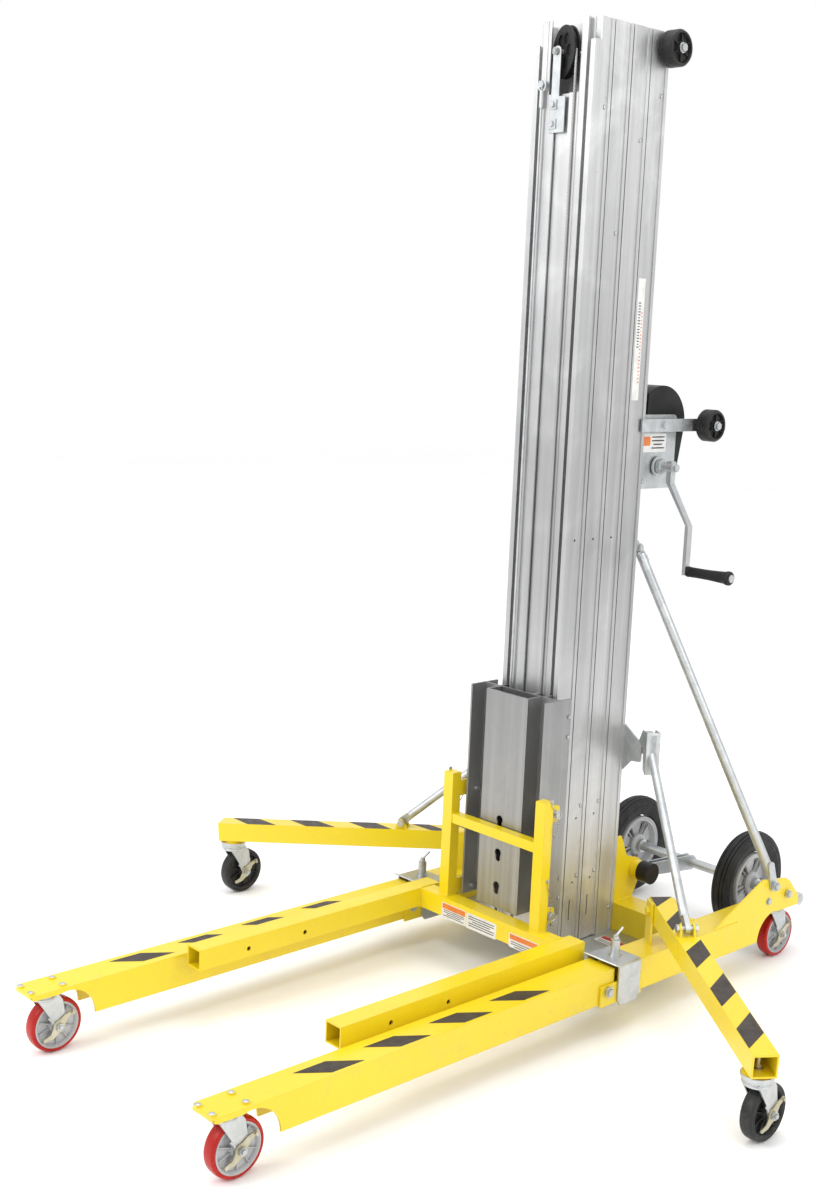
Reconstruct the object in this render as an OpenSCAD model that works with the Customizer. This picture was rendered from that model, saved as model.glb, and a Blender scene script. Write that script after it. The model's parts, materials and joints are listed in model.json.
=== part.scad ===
// Telescoping-mast drywall and material lift.
// Frame: X to the right, Y to the rear (the legs point to -Y), Z up, origin on the floor in the
// middle of the footprint. Lengths are in millimetres.

/* [Base] */
// distance of each leg and rail from the centre plane
rail_x = 337; // [330:1:345]
// width of the side rails
rail_w = 80; // [76:1:82]
// height of the top of the legs and rails above the floor
rail_top = 158; // [156:1:160]
// height of the underside of the legs and rails
rail_low = 80; // [76:1:84]
// sheet thickness of legs and rails
sheet = 5; // [4:0.5:6]
// distance of the leg tips in front of the centre
leg_front = 1033; // [1000:1:1080]
// rear end of the rails
rail_rear = 868; // [860:1:870]
// distance of the leg hinge bolts behind the centre
leg_hinge_y = 85; // [80:1:90]
// height of the leg hinge bolts
leg_hinge_z = 110; // [108:1:114]

/* [Casters] */
// wheel diameter of the six casters
caster_d = 127; // [120:1:127]
// width of the caster wheels
caster_w = 32; // [26:1:34]
// distance from the swivel axis back to the wheel axle
caster_trail = 30; // [24:1:32]
// distance of the front swivel axes in front of the centre
front_caster_y = 987; // [980:1:990]
// distance of the rear swivel axes behind the centre
rear_caster_y = 803; // [800:1:806]

/* [Transport wheels] */
// diameter of the two rear transport tyres
tyre_d = 286; // [254:2:290]
// width of the tyres
tyre_w = 50; // [44:1:52]
// distance of each transport wheel from the centre plane
tyre_x = 200; // [196:1:212]
// distance of the transport axle behind the centre
axle_y = 890; // [890:1:904]
// height of the transport axle
axle_z = 153; // [151:1:155]

/* [Mast] */
// width of the mast sections
mast_w = 186; // [184:1:188]
// depth of one mast section
section_d = 65; // [64:0.5:66]
// distance from one section to the next
pitch = 68; // [67.5:0.25:68.5]
// rear face of the fixed section
mast_rear = 446; // [446:1:446]
// top of the lowered mast
mast_top = 2338; // [2200:2:2338]
// wall thickness of the extrusions
wall = 4; // [3.5:0.25:4]

/* [Carriage and forks] */
// bottom of the carriage when lowered
carriage_low = 195; // [193:1:200]
// top of the carriage when lowered
carriage_high = 747; // [700:1:780]
// distance of each fork tube from the centre plane
fork_x = 251; // [245:1:252]
// outside size of the square fork tubes
fork_s = 50; // [45:1:50]
// distance of the fork ends in front of the centre
fork_front = 643; // [560:1:680]
// height of the fork tops when lowered
fork_top = 190; // [188:1:192]

/* [Outriggers] */
// yaw of the outriggers, forward of sideways
out_yaw = 34.93; // [33:0.5:36]
// slope of the outriggers down to the floor
out_slope = 4.33; // [4.2:0.05:4.4]
// length from the hinge bolt to the outer end
out_len = 717; // [700:1:725]
// width of the outrigger tube
out_w = 56; // [54:1:57]
// height of the outrigger tube
out_h = 52; // [50:1:53]

/* [Hidden] */
$fn = 64;
gap = 0.5;
hw = mast_w / 2;
leg_w = rail_w - 2 * gap;
ear_t = 5;
caster_r = caster_d / 2;
crown_top = 147.5;
plate_low = 148;
slot_x = 74;
s_low = [86, 88, 88, 110];
s_y = [for (i = [0:3]) mast_rear - section_d - i * pitch];
shaft_y = 530;
shaft_z = 1300;
drum_y = 548;
drum_z = 1400;
hub_out = 130;
crank_r = 255;
gear_r = 82;
pinion_r = 19.3;
out_x = 339;
out_y = 331;
out_z = 239.5;
stem_at = 681;
lug_at = 184;
lug_up = 42;
pin_at = -230;
pin_up = 338.5;
tube_y = 531;
tube_z = 234;
gusset_x = 87;
sheave_r = 60;
sheave_turn = 23;
rope_x = 40;
rope_y = 173.6;
sheave_x = rope_x - (sheave_r - 3.5) * cos(sheave_turn);
sheave_y = rope_y + (sheave_r - 3.5) * sin(sheave_turn);
rear_sheave_r = 32;
rear_sheave_y = 434;
rear_sheave_z = 2298;
sheave_z = 2268;
rope_r = 3;
roller_r = 43;

zinc = [0.78, 0.79, 0.78];
alu = [0.80, 0.81, 0.82];
yellow = [0.93, 0.80, 0.10];
black = [0.09, 0.09, 0.09];
red = [0.70, 0.10, 0.08];
grey = [0.55, 0.56, 0.57];
brass = [0.80, 0.70, 0.40];

// ---- helpers -------------------------------------------------------------------------------

// round bar along X from x0 to x1
module bar_x(x0, x1, y, z, r) {
    translate([x0, y, z]) rotate([0, 90, 0]) cylinder(h = x1 - x0, r = r);
}

// hexagon along X
module hex_x(x0, x1, y, z, r) {
    translate([x0, y, z]) rotate([0, 90, 0]) cylinder(h = x1 - x0, r = r, $fn = 6);
}

// box from one corner to the other
module box(a, b) {
    translate(a) cube(b - a);
}

// side profile, points [y, z], made into a plate from x0 to x1
module plate_x(x0, x1) {
    translate([x0, 0, 0]) rotate([90, 0, 90]) linear_extrude(x1 - x0) children();
}

// front profile, points [x, z], made into a plate from y0 to y1
module plate_y(y0, y1) {
    translate([0, y1, 0]) rotate([90, 0, 0]) linear_extrude(y1 - y0) children();
}

// two round ends joined by their outer tangents
module link2d(a, ra, b, rb) {
    d = norm(b - a);
    ang = atan2(b[1] - a[1], b[0] - a[0]);
    s = acos((ra - rb) / d);
    translate(a) circle(ra);
    translate(b) circle(rb);
    polygon([
        a + ra * [cos(ang + s), sin(ang + s)], b + rb * [cos(ang + s), sin(ang + s)],
        b + rb * [cos(ang - s), sin(ang - s)], a + ra * [cos(ang - s), sin(ang - s)]
    ]);
}

// rectangle with round corners
module round2d(a, b, r) {
    translate([a[0] + r, a[1]]) square([b[0] - a[0] - 2 * r, b[1] - a[1]]);
    translate([a[0], a[1] + r]) square([b[0] - a[0], b[1] - a[1] - 2 * r]);
    for (x = [a[0] + r, b[0] - r], y = [a[1] + r, b[1] - r]) translate([x, y]) circle(r);
}

// round bar between two points
module bar(a, b, r) {
    v = b - a;
    translate(a) rotate([0, acos(v[2] / norm(v)), atan2(v[1], v[0])]) cylinder(h = norm(v), r = r);
}

// s = 1 for the right side, -1 for the left
module side(s) {
    if (s > 0) children();
    else mirror([1, 0, 0]) children();
}

// ---- base ----------------------------------------------------------------------------------

// concave cut over a caster, from the arc towards the end of a leg or rail
module caster_cut(arc_y, end_y) {
    dir = end_y > arc_y ? 1 : -1;
    c = arc_y + dir * 70;
    bar_x(-60, 60, c, rail_low - 1, 70);
    box([-60, min(c, end_y + dir * 20), 0], [60, max(c, end_y + dir * 20), 146]);
}

module mount_plate(y) {
    difference() {
        box([-33, y - 45, plate_low], [33, y + 45, rail_top - sheet]);
        translate([0, y, plate_low - 1]) cylinder(h = rail_top - sheet - plate_low + 1, r = 8.05);
    }
}

module ear2d() {
    polygon([
        [470, rail_low + 40], [500, rail_top], [703, 248], [806, 232], [828, 219], [869, 172],
        [873, 160], [873, 146], [765, 146], [700, rail_low + 40]
    ]);
}

module rail() {
    translate([rail_x, 0, 0]) {
        difference() {
            box([-rail_w / 2, 146, rail_low], [rail_w / 2, rail_rear, rail_top]);
            box([-rail_w / 2 + sheet, 140, rail_low + sheet],
                [rail_w / 2 - sheet, rail_rear + 5, rail_top - sheet]);
            caster_cut(693, rail_rear);
            box([rail_w / 2 - 12, 838, rail_top - 10], [rail_w / 2 - sheet, rail_rear + 5, rail_top + 5]);
            translate([0, 160, rail_top - 10]) cylinder(h = 20, r = 5.5);
        }
        mount_plate(rear_caster_y);
        difference() {
            plate_x(rail_w / 2 - sheet, rail_w / 2) ear2d();
            bar_x(rail_w / 2 - 10, rail_w / 2 + 5, 744, 225, 6.5);
            bar_x(rail_w / 2 - 10, rail_w / 2 + 5, 814, 188, 6.5);
            bar_x(rail_w / 2 - 10, rail_w / 2 + 5, 731, 184, 6.5);
            bar_x(-60, 60, 763, rail_low - 1, 70);
        }
        // ears that carry the leg hinge bolt
        for (s = [-1, 1]) difference() {
            box([s > 0 ? rail_w / 2 : -rail_w / 2 - ear_t, leg_hinge_y - 24, 74],
                [s > 0 ? rail_w / 2 + ear_t : -rail_w / 2, 210, 126]);
            bar_x(-60, 60, leg_hinge_y, leg_hinge_z, 6.05);
        }
        // bracket for the outrigger
        translate([out_x - rail_x, out_y, 0]) rotate([0, 0, -out_yaw]) for (s = [-1, 1]) {
            difference() {
                box([-22, s > 0 ? out_w / 2 + 1 : -out_w / 2 - 6, rail_top - 1],
                    [22, s > 0 ? out_w / 2 + 6 : -out_w / 2 - 1, out_z + 24]);
                translate([0, -60, out_z]) rotate([-90, 0, 0]) cylinder(h = 120, r = 6.05);
            }
        }
    }
}

module cross_beam() {
    difference() {
        box([-rail_x + rail_w / 2, mast_rear, 83], [rail_x - rail_w / 2, 525, rail_top]);
        box([-rail_x, mast_rear + 5, 88], [rail_x, 520, rail_top - 5]);
    }
    for (s = [-1, 1]) plate_x(s * gusset_x - 3, s * gusset_x + 3) polygon([
        [mast_rear, 150], [mast_rear, 335], [467, 335], [494, 276], [540, 262], [558, 244],
        [558, 222], [526, 160], [526, 150]
    ]);
    bar_x(-118, 118, tube_y, tube_z, 25);
    plate_x(-6, 6) difference() {
        union() {
            polygon([[500, 156], [548, 156], [565, 175], [560, 200], [540, 222], [510, 222]]);
            translate([548, 186]) circle(17);
        }
        translate([548, 186]) circle(6.2);
    }
}

module base_frame() {
    color(yellow) {
        for (s = [-1, 1]) side(s) rail();
        cross_beam();
    }
}

// plate under the mast, and the hinge bolts of the legs
module base_plate() {
    e = rail_x - rail_w / 2;
    color(zinc) {
        box([-285.5, 168, 78], [285.5, 248, 86]);
        box([-e, 247, 78], [e, mast_rear - 0.2, 86]);
        for (s = [-1, 1]) box([s * 50 - 3, 235, 56], [s * 50 + 3, mast_rear - 4, 79]);
        for (s = [-1, 1]) side(s) translate([rail_x, 0, 0]) {
            bar_x(-52, 52, leg_hinge_y, leg_hinge_z, 6);
            hex_x(45.2, 52.5, leg_hinge_y, leg_hinge_z, 11);
            hex_x(-54, -45.2, leg_hinge_y, leg_hinge_z, 11);
        }
    }
}

module tube_caps() {
    color(black) for (s = [-1, 1]) side(s) difference() {
        bar_x(114, 148, tube_y, tube_z, 28);
        bar_x(110, 119, tube_y, tube_z, 25.1);
    }
}

module saddle(s) {
    iw = rail_w / 2 + ear_t + gap;
    color(zinc) side(s) translate([rail_x, 0, 0]) {
        difference() {
            plate_y(118, 197) difference() {
                round2d([-iw - 5, 40], [iw + 5, rail_top + 9], 7);
                translate([-iw, 20]) square([2 * iw, rail_top - 16]);
                translate([-60, 0]) square([120, 66]);
            }
            translate([0, 160, rail_top - 10]) cylinder(h = 60, r = 5.05);
            for (y = [118, 197]) bar_cut(y);
        }
        // flared lip
        plate_x(-iw - 5, iw + 5) polygon([
            [118, rail_top + 9], [106, rail_top + 14], [104, rail_top + 11], [118, rail_top + 5]
        ]);
        // barrel of the lock pin
        difference() {
            union() {
                translate([0, 160, rail_top + 8.5]) cylinder(h = 40, r = 11);
                translate([0, 160, rail_top + 8.5]) cylinder(h = 6, r = 15);
            }
            translate([0, 160, rail_top]) cylinder(h = 60, r = 5.05);
        }
    }
}

// chamfers the lower corners of the saddle sides
module bar_cut(y) {
    d = y < 150 ? 1 : -1;
    plate_x(-80, 80) polygon([[y - d, 60], [y + d * 16, 60], [y - d, 82]]);
}

// ---- legs ----------------------------------------------------------------------------------

module leg(s) {
    back = 113;
    color(yellow) side(s) translate([rail_x, 0, 0]) {
        difference() {
            box([-leg_w / 2, -leg_front, rail_low], [leg_w / 2, back, rail_top]);
            box([-leg_w / 2 + sheet, -leg_front - 5, rail_low - 5],
                [leg_w / 2 - sheet, back + 5, rail_top - sheet]);
            caster_cut(-874, -leg_front);
            bar_x(-60, 60, leg_hinge_y, leg_hinge_z, 6.05);
            for (q = [-1, 1]) tip_corner(q);
            for (x = [-23, 23], y = [-39, 39])
                translate([x, -front_caster_y + y, 140]) cylinder(h = 30, r = 5);
        }
        difference() {
            mount_plate(-front_caster_y);
            for (x = [-23, 23], y = [-39, 39])
                translate([x, -front_caster_y + y, 140]) cylinder(h = 30, r = 5);
        }
        // bolt heads and nuts of the caster plate
        for (x = [-23, 23], y = [-39, 39]) translate([x, -front_caster_y + y, 0]) {
            translate([0, 0, plate_low - 2]) cylinder(h = rail_top - plate_low + 2.5, r = 5);
            translate([0, 0, rail_top - 0.2]) cylinder(h = 3.6, r = 8);
        }
    }
}

// round corner of the leg tip
module tip_corner(q) {
    r = 14;
    translate([q * (leg_w / 2 - r), -leg_front + r, 130]) difference() {
        translate([q > 0 ? 0 : -r - 1, -r - 1, 0]) cube([r + 1, r + 1, 40]);
        cylinder(h = 100, r = r, center = true);
    }
}

module plunger(s) {
    color(zinc) side(s) translate([rail_x, 160, 0]) {
        translate([0, 0, rail_top + 5.5]) cylinder(h = 54.5, r = 5);
        translate([0, 0, rail_top + 49]) cylinder(h = 8, r = 7.5);
        translate([0, -5, rail_top + 54]) rotate([-58, 0, 0]) cylinder(h = 34, r = 3);
    }
}

// ---- casters -------------------------------------------------------------------------------

// every caster is drawn at its swivel axis, with the wheel trailing to +Y
module caster_fork() {
    t = caster_trail;
    in = caster_w / 2 + 2.5;
    color(zinc) {
        translate([0, 0, crown_top - 4]) cylinder(h = 4, r = 33);
        translate([0, 0, crown_top - 9]) cylinder(h = 6, r = 29);
        translate([0, 0, crown_top - 5]) cylinder(h = 10, r = 8);
        for (s = [-1, 1]) plate_x(s > 0 ? in : -in - 4, s > 0 ? in + 4 : -in) {
            polygon([
                [-27, crown_top - 5], [27, crown_top - 5], [t + 10, crown_top - 24], [t + 17, 84],
                [t + 13, caster_r], [t - 13, caster_r], [t - 24, 92]
            ]);
            translate([t, caster_r]) circle(13);
        }
        bar_x(-in - 11, in + 13, t, caster_r, 5);
        hex_x(-in - 11, -in - 4, t, caster_r, 9.5);
        hex_x(in + 8.5, in + 14, t, caster_r, 9.5);
    }
}

module caster_wheel(c) {
    t = caster_trail;
    w = caster_w / 2;
    color(c) translate([0, t, caster_r]) rotate([0, 90, 0]) difference() {
        rotate_extrude($fn = 96) polygon([
            [5.06, -w - 1.5], [14, -w - 1.5], [16, -w + 5], [42, -w + 6], [46, -w + 0.5],
            [caster_r - 7, -w], [caster_r - 1.5, -w + 6], [caster_r, -w + 12],
            [caster_r, w - 12], [caster_r - 1.5, w - 6], [caster_r - 7, w], [46, w - 0.5],
            [42, w - 6], [16, w - 5], [14, w + 1.5], [5.06, w + 1.5]
        ]);
    }
}

module caster_brake() {
    t = caster_trail;
    in = caster_w / 2 + 2.5;
    x0 = in + 4.4;
    color(brass) difference() {
        union() {
            plate_x(x0, x0 + 3) translate([t, caster_r]) {
                circle(15);
                rotate(42) link2d([0, 0], 12, [26, 3], 6.2);
                rotate(42) link2d([26, 3], 6.2, [43, -3], 4.5);
                rotate(42) link2d([0, 0], 12, [-26, -3], 6.2);
                rotate(42) link2d([-26, -3], 6.2, [-42, 5], 4.5);
            }
            translate([0, t, caster_r]) rotate([42, 0, 0])
                box([x0 - 1.5, 38, -8], [x0 + 7, 44, 1]);
        }
        bar_x(0, 60, t, caster_r, 5.06);
    }
}

module at_caster(where) {
    if (where == "fr") translate([rail_x, -front_caster_y, 0]) children();
    if (where == "fl") translate([-rail_x, -front_caster_y, 0]) children();
    if (where == "rr") translate([rail_x, rear_caster_y, 0]) children();
    if (where == "rl") translate([-rail_x, rear_caster_y, 0]) children();
    x = out_x + stem_at * cos(out_slope) * cos(out_yaw);
    y = out_y - stem_at * cos(out_slope) * sin(out_yaw);
    if (where == "or") translate([x, y, 0]) children();
    if (where == "ol") translate([-x, y, 0]) children();
}

// ---- outriggers ----------------------------------------------------------------------------

// frame of an outrigger: x runs outward from the hinge bolt, y across, z up
module at_outrigger(s) {
    side(s) translate([out_x, out_y, out_z]) rotate([0, 0, -out_yaw]) children();
}

module outrigger(s) {
    color(yellow) at_outrigger(s) {
        rotate([0, out_slope, 0]) difference() {
            box([-22, -out_w / 2, -out_h / 2], [out_len, out_w / 2, out_h / 2]);
            box([-30, -out_w / 2 + 4, -out_h / 2 + 4], [out_len + 5, out_w / 2 - 4, out_h / 2 - 4]);
            translate([0, -60, 0]) rotate([-90, 0, 0]) cylinder(h = 120, r = 6.05);
        }
        // lugs for the brace
        rotate([0, out_slope, 0]) for (q = [-1, 1])
            translate([lug_at, q > 0 ? 19 : -14, 0]) rotate([90, 0, 0]) linear_extrude(5)
            difference() {
                union() {
                    polygon([[-17, out_h / 2 - 1], [17, out_h / 2 - 1], [9.5, lug_up + 3],
                        [-9.5, lug_up + 3]]);
                    translate([0, lug_up]) circle(10);
                }
                translate([0, lug_up]) circle(6.05);
            }
        // seat of the caster stem
        difference() {
            translate([stem_at * cos(out_slope), 0, 0]) {
                translate([0, 0, plate_low - out_z]) cylinder(h = 8, r = 33);
                translate([0, 0, plate_low + 7 - out_z]) cylinder(h = 12, r = 26);
            }
            translate([stem_at * cos(out_slope), 0, plate_low - out_z - 1]) cylinder(h = 6, r = 8.05);
            rotate([0, out_slope, 0]) box([600, -out_w / 2 + 4, -out_h / 2 + 4],
                [800, out_w / 2 - 4, out_h / 2 - 4]);
        }
        // hinge bolt
        translate([0, -out_w / 2 - 13, 0]) rotate([-90, 0, 0]) cylinder(h = out_w + 24, r = 6);
        for (q = [-1, 1]) translate([0, q > 0 ? out_w / 2 + 6.5 : -out_w / 2 - 14, 0])
            rotate([-90, 0, 0]) cylinder(h = 7.5, r = 11, $fn = 6);
    }
}

function lug_pos() = [
    lug_at * cos(out_slope) + lug_up * sin(out_slope), lug_up * cos(out_slope) - lug_at * sin(out_slope)
];

module brace(s) {
    p = lug_pos();
    q = [-184, 354];
    color(zinc) at_outrigger(s) {
        u = (q - p) / norm(q - p);
        difference() {
            union() {
                bar([p[0] + 30 * u[0], 0, p[1] + 30 * u[1]], [q[0], 0, q[1]], 11);
                plate_y(-6, 6) link2d(p, 12, p + 40 * u, 10);
            }
            translate([p[0], -60, p[1]]) rotate([-90, 0, 0]) cylinder(h = 120, r = 6.1);
        }
        // bolt through the lugs
        translate([p[0], -24, p[1]]) rotate([-90, 0, 0]) cylinder(h = 48, r = 5.9);
        for (k = [-1, 1]) translate([p[0], k > 0 ? 19.5 : -26, p[1]]) rotate([-90, 0, 0])
            cylinder(h = 6.5, r = 10, $fn = 6);
        // hook channel over the mast pin
        difference() {
            union() {
                for (k = [-1, 1]) plate_y(k > 0 ? 5 : -8, k > 0 ? 8 : -5) hook2d();
                plate_y(-8, 8) difference() {
                    hook2d();
                    polygon([[-260, 280], [-260, 352], [-212, 394], [-178, 394], [-170, 387], [-170, 280]]);
                }
            }
        }
    }
}

module hook2d() {
    difference() {
        polygon([[-165, 398], [-212, 398], [-252, 362], [-258, 330], [-246, 316], [-165, 316]]);
        translate([pin_at, pin_up]) circle(6.5);
        polygon([[pin_at - 6.5, pin_up], [pin_at + 6.5, pin_up], [pin_at + 22, 300], [pin_at - 22, 300]]);
    }
}

// plates behind the mast with the pins that the short braces hook over
module hook_brackets() {
    union() {
        for (s = [-1, 1]) side(s) {
            plate_y(mast_rear, mast_rear + 5) difference() {
                polygon([
                    [44, 520], [93, 520], [118, 548], [150, 552], [150, 600], [118, 622], [93, 640],
                    [44, 640]
                ]);
                for (z = [540, 620]) translate([60, z]) circle(5);
            }
            for (z = [540, 620]) translate([60, mast_rear + 4.5, z]) rotate([-90, 0, 0])
                cylinder(h = 7, r = 9, $fn = 6);
            translate([118, mast_rear + 4.5, 580]) rotate([-90, 0, 0]) cylinder(h = 5, r = 8, $fn = 6);
        }
        for (s = [-1, 1]) at_outrigger(s) translate([pin_at, 0, pin_up]) {
            translate([0, -17.5, 0]) rotate([-90, 0, 0]) cylinder(h = 34, r = 6);
            translate([0, 14, 0]) rotate([-90, 0, 0]) cylinder(h = 6, r = 10);
        }
    }
}

// ---- long braces, transport axle and wheels -------------------------------------------------

module mast_braces() {
    color(zinc) hook_brackets();
    top = [78, 470, 1095];
    low = [rail_x + rail_w / 2 + 10, 744, 225];
    u = (low - top) / norm(low - top);
    color(zinc) for (s = [-1, 1]) side(s) {
        bar(top + 16 * u, low - 33 * u, 12.5);
        difference() {
            plate_x(low[0] - 9.5, low[0] - 4.5) link2d([744, 225], 14, [726, 281], 12);
            bar_x(300, 460, 744, 225, 6);
        }
        bar_x(rail_x + rail_w / 2 - 8, low[0] + 4, 744, 225, 6);
        hex_x(low[0] - 4.5, low[0] + 3, 744, 225, 10);
        hex_x(rail_x + rail_w / 2 - 13, rail_x + rail_w / 2 - 5, 744, 225, 10);
        // bracket on the rear of the mast
        plate_x(60, 65) polygon([
            [mast_rear, 1068], [mast_rear, 1128], [468, 1120], [486, 1104], [486, 1088], [468, 1076]
        ]);
        plate_y(mast_rear, mast_rear + 4) translate([44, 1060]) square([46, 76]);
        bar_x(52, 92, 470, 1095, 6);
        hex_x(52, 60, 470, 1095, 10);
    }
}

module rear_axle() {
    in = tyre_x - tyre_w / 2;
    out = tyre_x + tyre_w / 2;
    color(zinc) {
        bar_x(-rail_x - rail_w / 2 + 4, rail_x + rail_w / 2 - 4, axle_y, axle_z, 10);
        bar_x(-in + 8, in - 8, axle_y, axle_z, 13.5);
        for (s = [-1, 1]) side(s) {
            bar_x(in - 10, in - 1, axle_y, axle_z, 19);
            bar_x(out + 1, out + 10, axle_y, axle_z, 17);
            // end bracket bolted inside the tail
            plate_x(rail_x + rail_w / 2 - 10.5, rail_x + rail_w / 2 - 5.5)
                link2d([814, 188], 14.5, [axle_y, axle_z], 16.5);
            bar_x(rail_x + rail_w / 2 - 12, rail_x + rail_w / 2 + 2, 814, 188, 6);
            hex_x(rail_x + rail_w / 2 + 0.5, rail_x + rail_w / 2 + 7, 814, 188, 10);
            hex_x(rail_x + rail_w / 2 - 18, rail_x + rail_w / 2 - 10, 814, 188, 10);
        }
        // centre link to the frame
        for (q = [-1, 1]) plate_x(q > 0 ? 7 : -12, q > 0 ? 12 : -7) difference() {
            link2d([548, 186], 14, [axle_y, axle_z], 21);
            translate([548, 186]) circle(6.2);
        }
        bar_x(-22, 22, 548, 186, 6);
        for (q = [-1, 1]) hex_x(q > 0 ? 12 : -20, q > 0 ? 20 : -12, 548, 186, 10);
    }
}

module tyre(s) {
    r = tyre_d / 2;
    w = tyre_w / 2;
    color(black) side(s) translate([tyre_x, axle_y, axle_z]) rotate([0, 90, 0])
        rotate_extrude($fn = 96) difference() {
            polygon([
                [84, -w + 7], [90, -w + 2], [104, -w], [120, -w + 2], [r - 7, -w + 8], [r - 1, -w + 15],
                [r, -w + 20], [r, w - 20], [r - 1, w - 15], [r - 7, w - 8], [120, w - 2], [104, w],
                [90, w - 2], [84, w - 7]
            ]);
            for (y = [-9, 0, 9]) translate([r - 4, y - 1.5]) square([10, 3]);
        }
}

module hub(s) {
    w = tyre_w / 2;
    color(grey) side(s) translate([tyre_x, axle_y, axle_z]) rotate([0, 90, 0]) difference() {
        union() {
            rotate_extrude($fn = 96) polygon([
                [10.06, -w + 0.5], [24, -w + 0.5], [27, -5], [66, -5], [72, -w + 4], [84, -w + 3],
                [83.9, w - 3], [72, w - 4], [66, 5], [27, 5], [24, w - 0.5], [10.06, w - 0.5]
            ]);
        }
        for (a = [0:72:288]) rotate([0, 0, a]) linear_extrude(14, center = true)
            polygon([[33, -7], [61, -17], [64, 0], [61, 17], [33, 7]]);
    }
}

// ---- mast ----------------------------------------------------------------------------------

// cross section of a mast extrusion, front face on y = 0
module section2d(tees, slots) {
    difference() {
        union() {
            difference() {
                translate([-hw, 0]) square([mast_w, section_d]);
                translate([-hw + 5, wall]) square([mast_w - 10, section_d - 2 * wall]);
            }
            for (s = [-1, 1]) translate([s * slot_x - 14, 0]) square([28, 18]);
            translate([-32, 7]) square([64, 5]);
            for (s = [-1, 1]) translate([s * 34 - 2.5, 1]) square([5, section_d - 2]);
        }
        if (slots) for (s = [-1, 1]) {
            translate([s * slot_x - 5, -1]) square([10, 8]);
            translate([s * slot_x - 11, wall]) square([22, 10]);
        }
        translate([-22, -1]) square([44, 8]);
        for (x = [-52, 52]) translate([x - 2, -1]) square([4, 2.5]);
        // shallow groove along each side
        for (s = [-1, 1]) translate([s * hw - 2.5, section_d - 26]) square([5, 16]);
    }
    if (tees) for (s = [-1, 1]) translate([s * slot_x, section_d - 1]) {
        translate([-3.5, 0]) square([7, pitch - section_d + wall + 3]);
        translate([-9.5, pitch - section_d + wall + 2.5]) square([19, 5]);
    }
}

module mast_section(i, tees) {
    translate([0, s_y[i], s_low[i]]) linear_extrude(mast_top - s_low[i]) section2d(tees, true);
}

// small holes and slots low in the sides
module side_marks(i) {
    y = s_y[i];
    for (z = [250, 420, 1130]) bar_x(-100, 100, y + 30, z, 3);
    for (x = [-100, 84]) {
        box([x, y + 22, 150], [x + 16, y + 26, 205]);
    }
}

module mast_1() {
    color(alu) difference() {
        mast_section(0, false);
        box([-13, mast_rear - 12, 2238], [13, mast_rear + 5, mast_top + 5]);
        bar_x(-100, 100, rear_sheave_y, rear_sheave_z, 6.05);
    }
}

module mast_2() {
    color(alu) difference() {
        mast_section(1, true);
        side_marks(1);
    }
}

module mast_3() {
    color(alu) difference() {
        mast_section(2, true);
        side_marks(2);
    }
}

module mast_4() {
    y = s_y[3];
    color(alu) difference() {
        mast_section(3, true);
        side_marks(3);
        // window for the top sheave
        box([-43, y - 5, 2172], [50, y + 19, mast_top + 5]);
        box([-87.9, y + 18.5, 2172], [48, y + 60.9, mast_top + 5]);
        // stepped corners
        for (s = [-1, 1]) box([s > 0 ? 78 : -100, y - 5, 2286], [s > 0 ? 100 : -78, y + 22, mast_top + 5]);
    }
}

// sheave on the X axis
module grooved_sheave(r, bore) {
    rotate([0, 90, 0]) rotate_extrude($fn = 96) polygon([
        [bore, -8], [r, -8], [r, -5], [r - 7, -2.5], [r - 7, 2.5], [r, 5], [r, 8], [bore, 8]
    ]);
}

// the top sheave stands across the mast, turned a little so that its rope comes out at the front
module at_top_sheave() {
    translate([sheave_x, sheave_y, sheave_z]) rotate([0, 0, 90 - sheave_turn]) children();
}

module top_sheave() {
    color(black) at_top_sheave() difference() {
        grooved_sheave(sheave_r, 5.06);
        for (a = [0:60:300], q = [-1, 1]) rotate([a, 0, 0]) bar_x(q > 0 ? 5 : -9, q > 0 ? 9 : -5, 31, 0, 13);
    }
}

module rear_sheave() {
    color(black) translate([0, rear_sheave_y, rear_sheave_z]) grooved_sheave(rear_sheave_r, 6.06);
}

module rope_anchor() {
    y = s_y[3];
    rx = -57;
    color(zinc) {
        // sheave pin, its nut, and the arm that holds it
        at_top_sheave() {
            bar_x(-30, 43, 0, 0, 5);
            hex_x(-32, -24.5, 0, 0, 9);
            bar_x(8.2, 12, 0, 0, 9);
        }
        plate_y(y - 3, y) translate([-20, 0]) {
            translate([-12, 2150]) square([24, sheave_z - 2150]);
            translate([0, sheave_z]) circle(12);
        }
        // clamp plate with two square washers
        box([-36, y - 3, 2084], [12, y, 2166]);
        for (z = [2104, 2148]) {
            box([-34, y - 6, z - 11], [-12, y - 2.5, z + 11]);
            translate([-23, y - 5, z]) rotate([90, 0, 0]) cylinder(h = 7, r = 7.5, $fn = 6);
        }
        // eye bolt, thimble, ferrule and rope down the front
        translate([rx, y, 2196]) rotate([90, 0, 0]) cylinder(h = 14, r = 5.5);
        translate([rx, y - 11.2, 2196]) rotate([90, 0, 0]) cylinder(h = 4, r = 9, $fn = 6);
        translate([rx, y - 8, 2192]) rotate([90, 0, 0]) rotate_extrude() translate([10.5, 0]) circle(3);
        translate([rx, y - 8, 2142]) cylinder(h = 40, r = 6);
        translate([rx, y - 8, 130]) cylinder(h = 2030, r = rope_r);
        box([rx - 6, y - 12, 118], [rx + 6, y, 136]);
    }
}

module lift_rope() {
    x = rope_x;
    color(grey) {
        translate([x, rope_y, carriage_high + 0.3])
            cylinder(h = sheave_z - carriage_high - 0.3, r = 3);
    }
}

module winch_rope() {
    color(grey) bar([0, rear_sheave_y + rear_sheave_r - 3.5, rear_sheave_z], [0, drum_y - 31.4, drum_z], 3);
}

// ---- carriage and forks ---------------------------------------------------------------------

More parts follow.
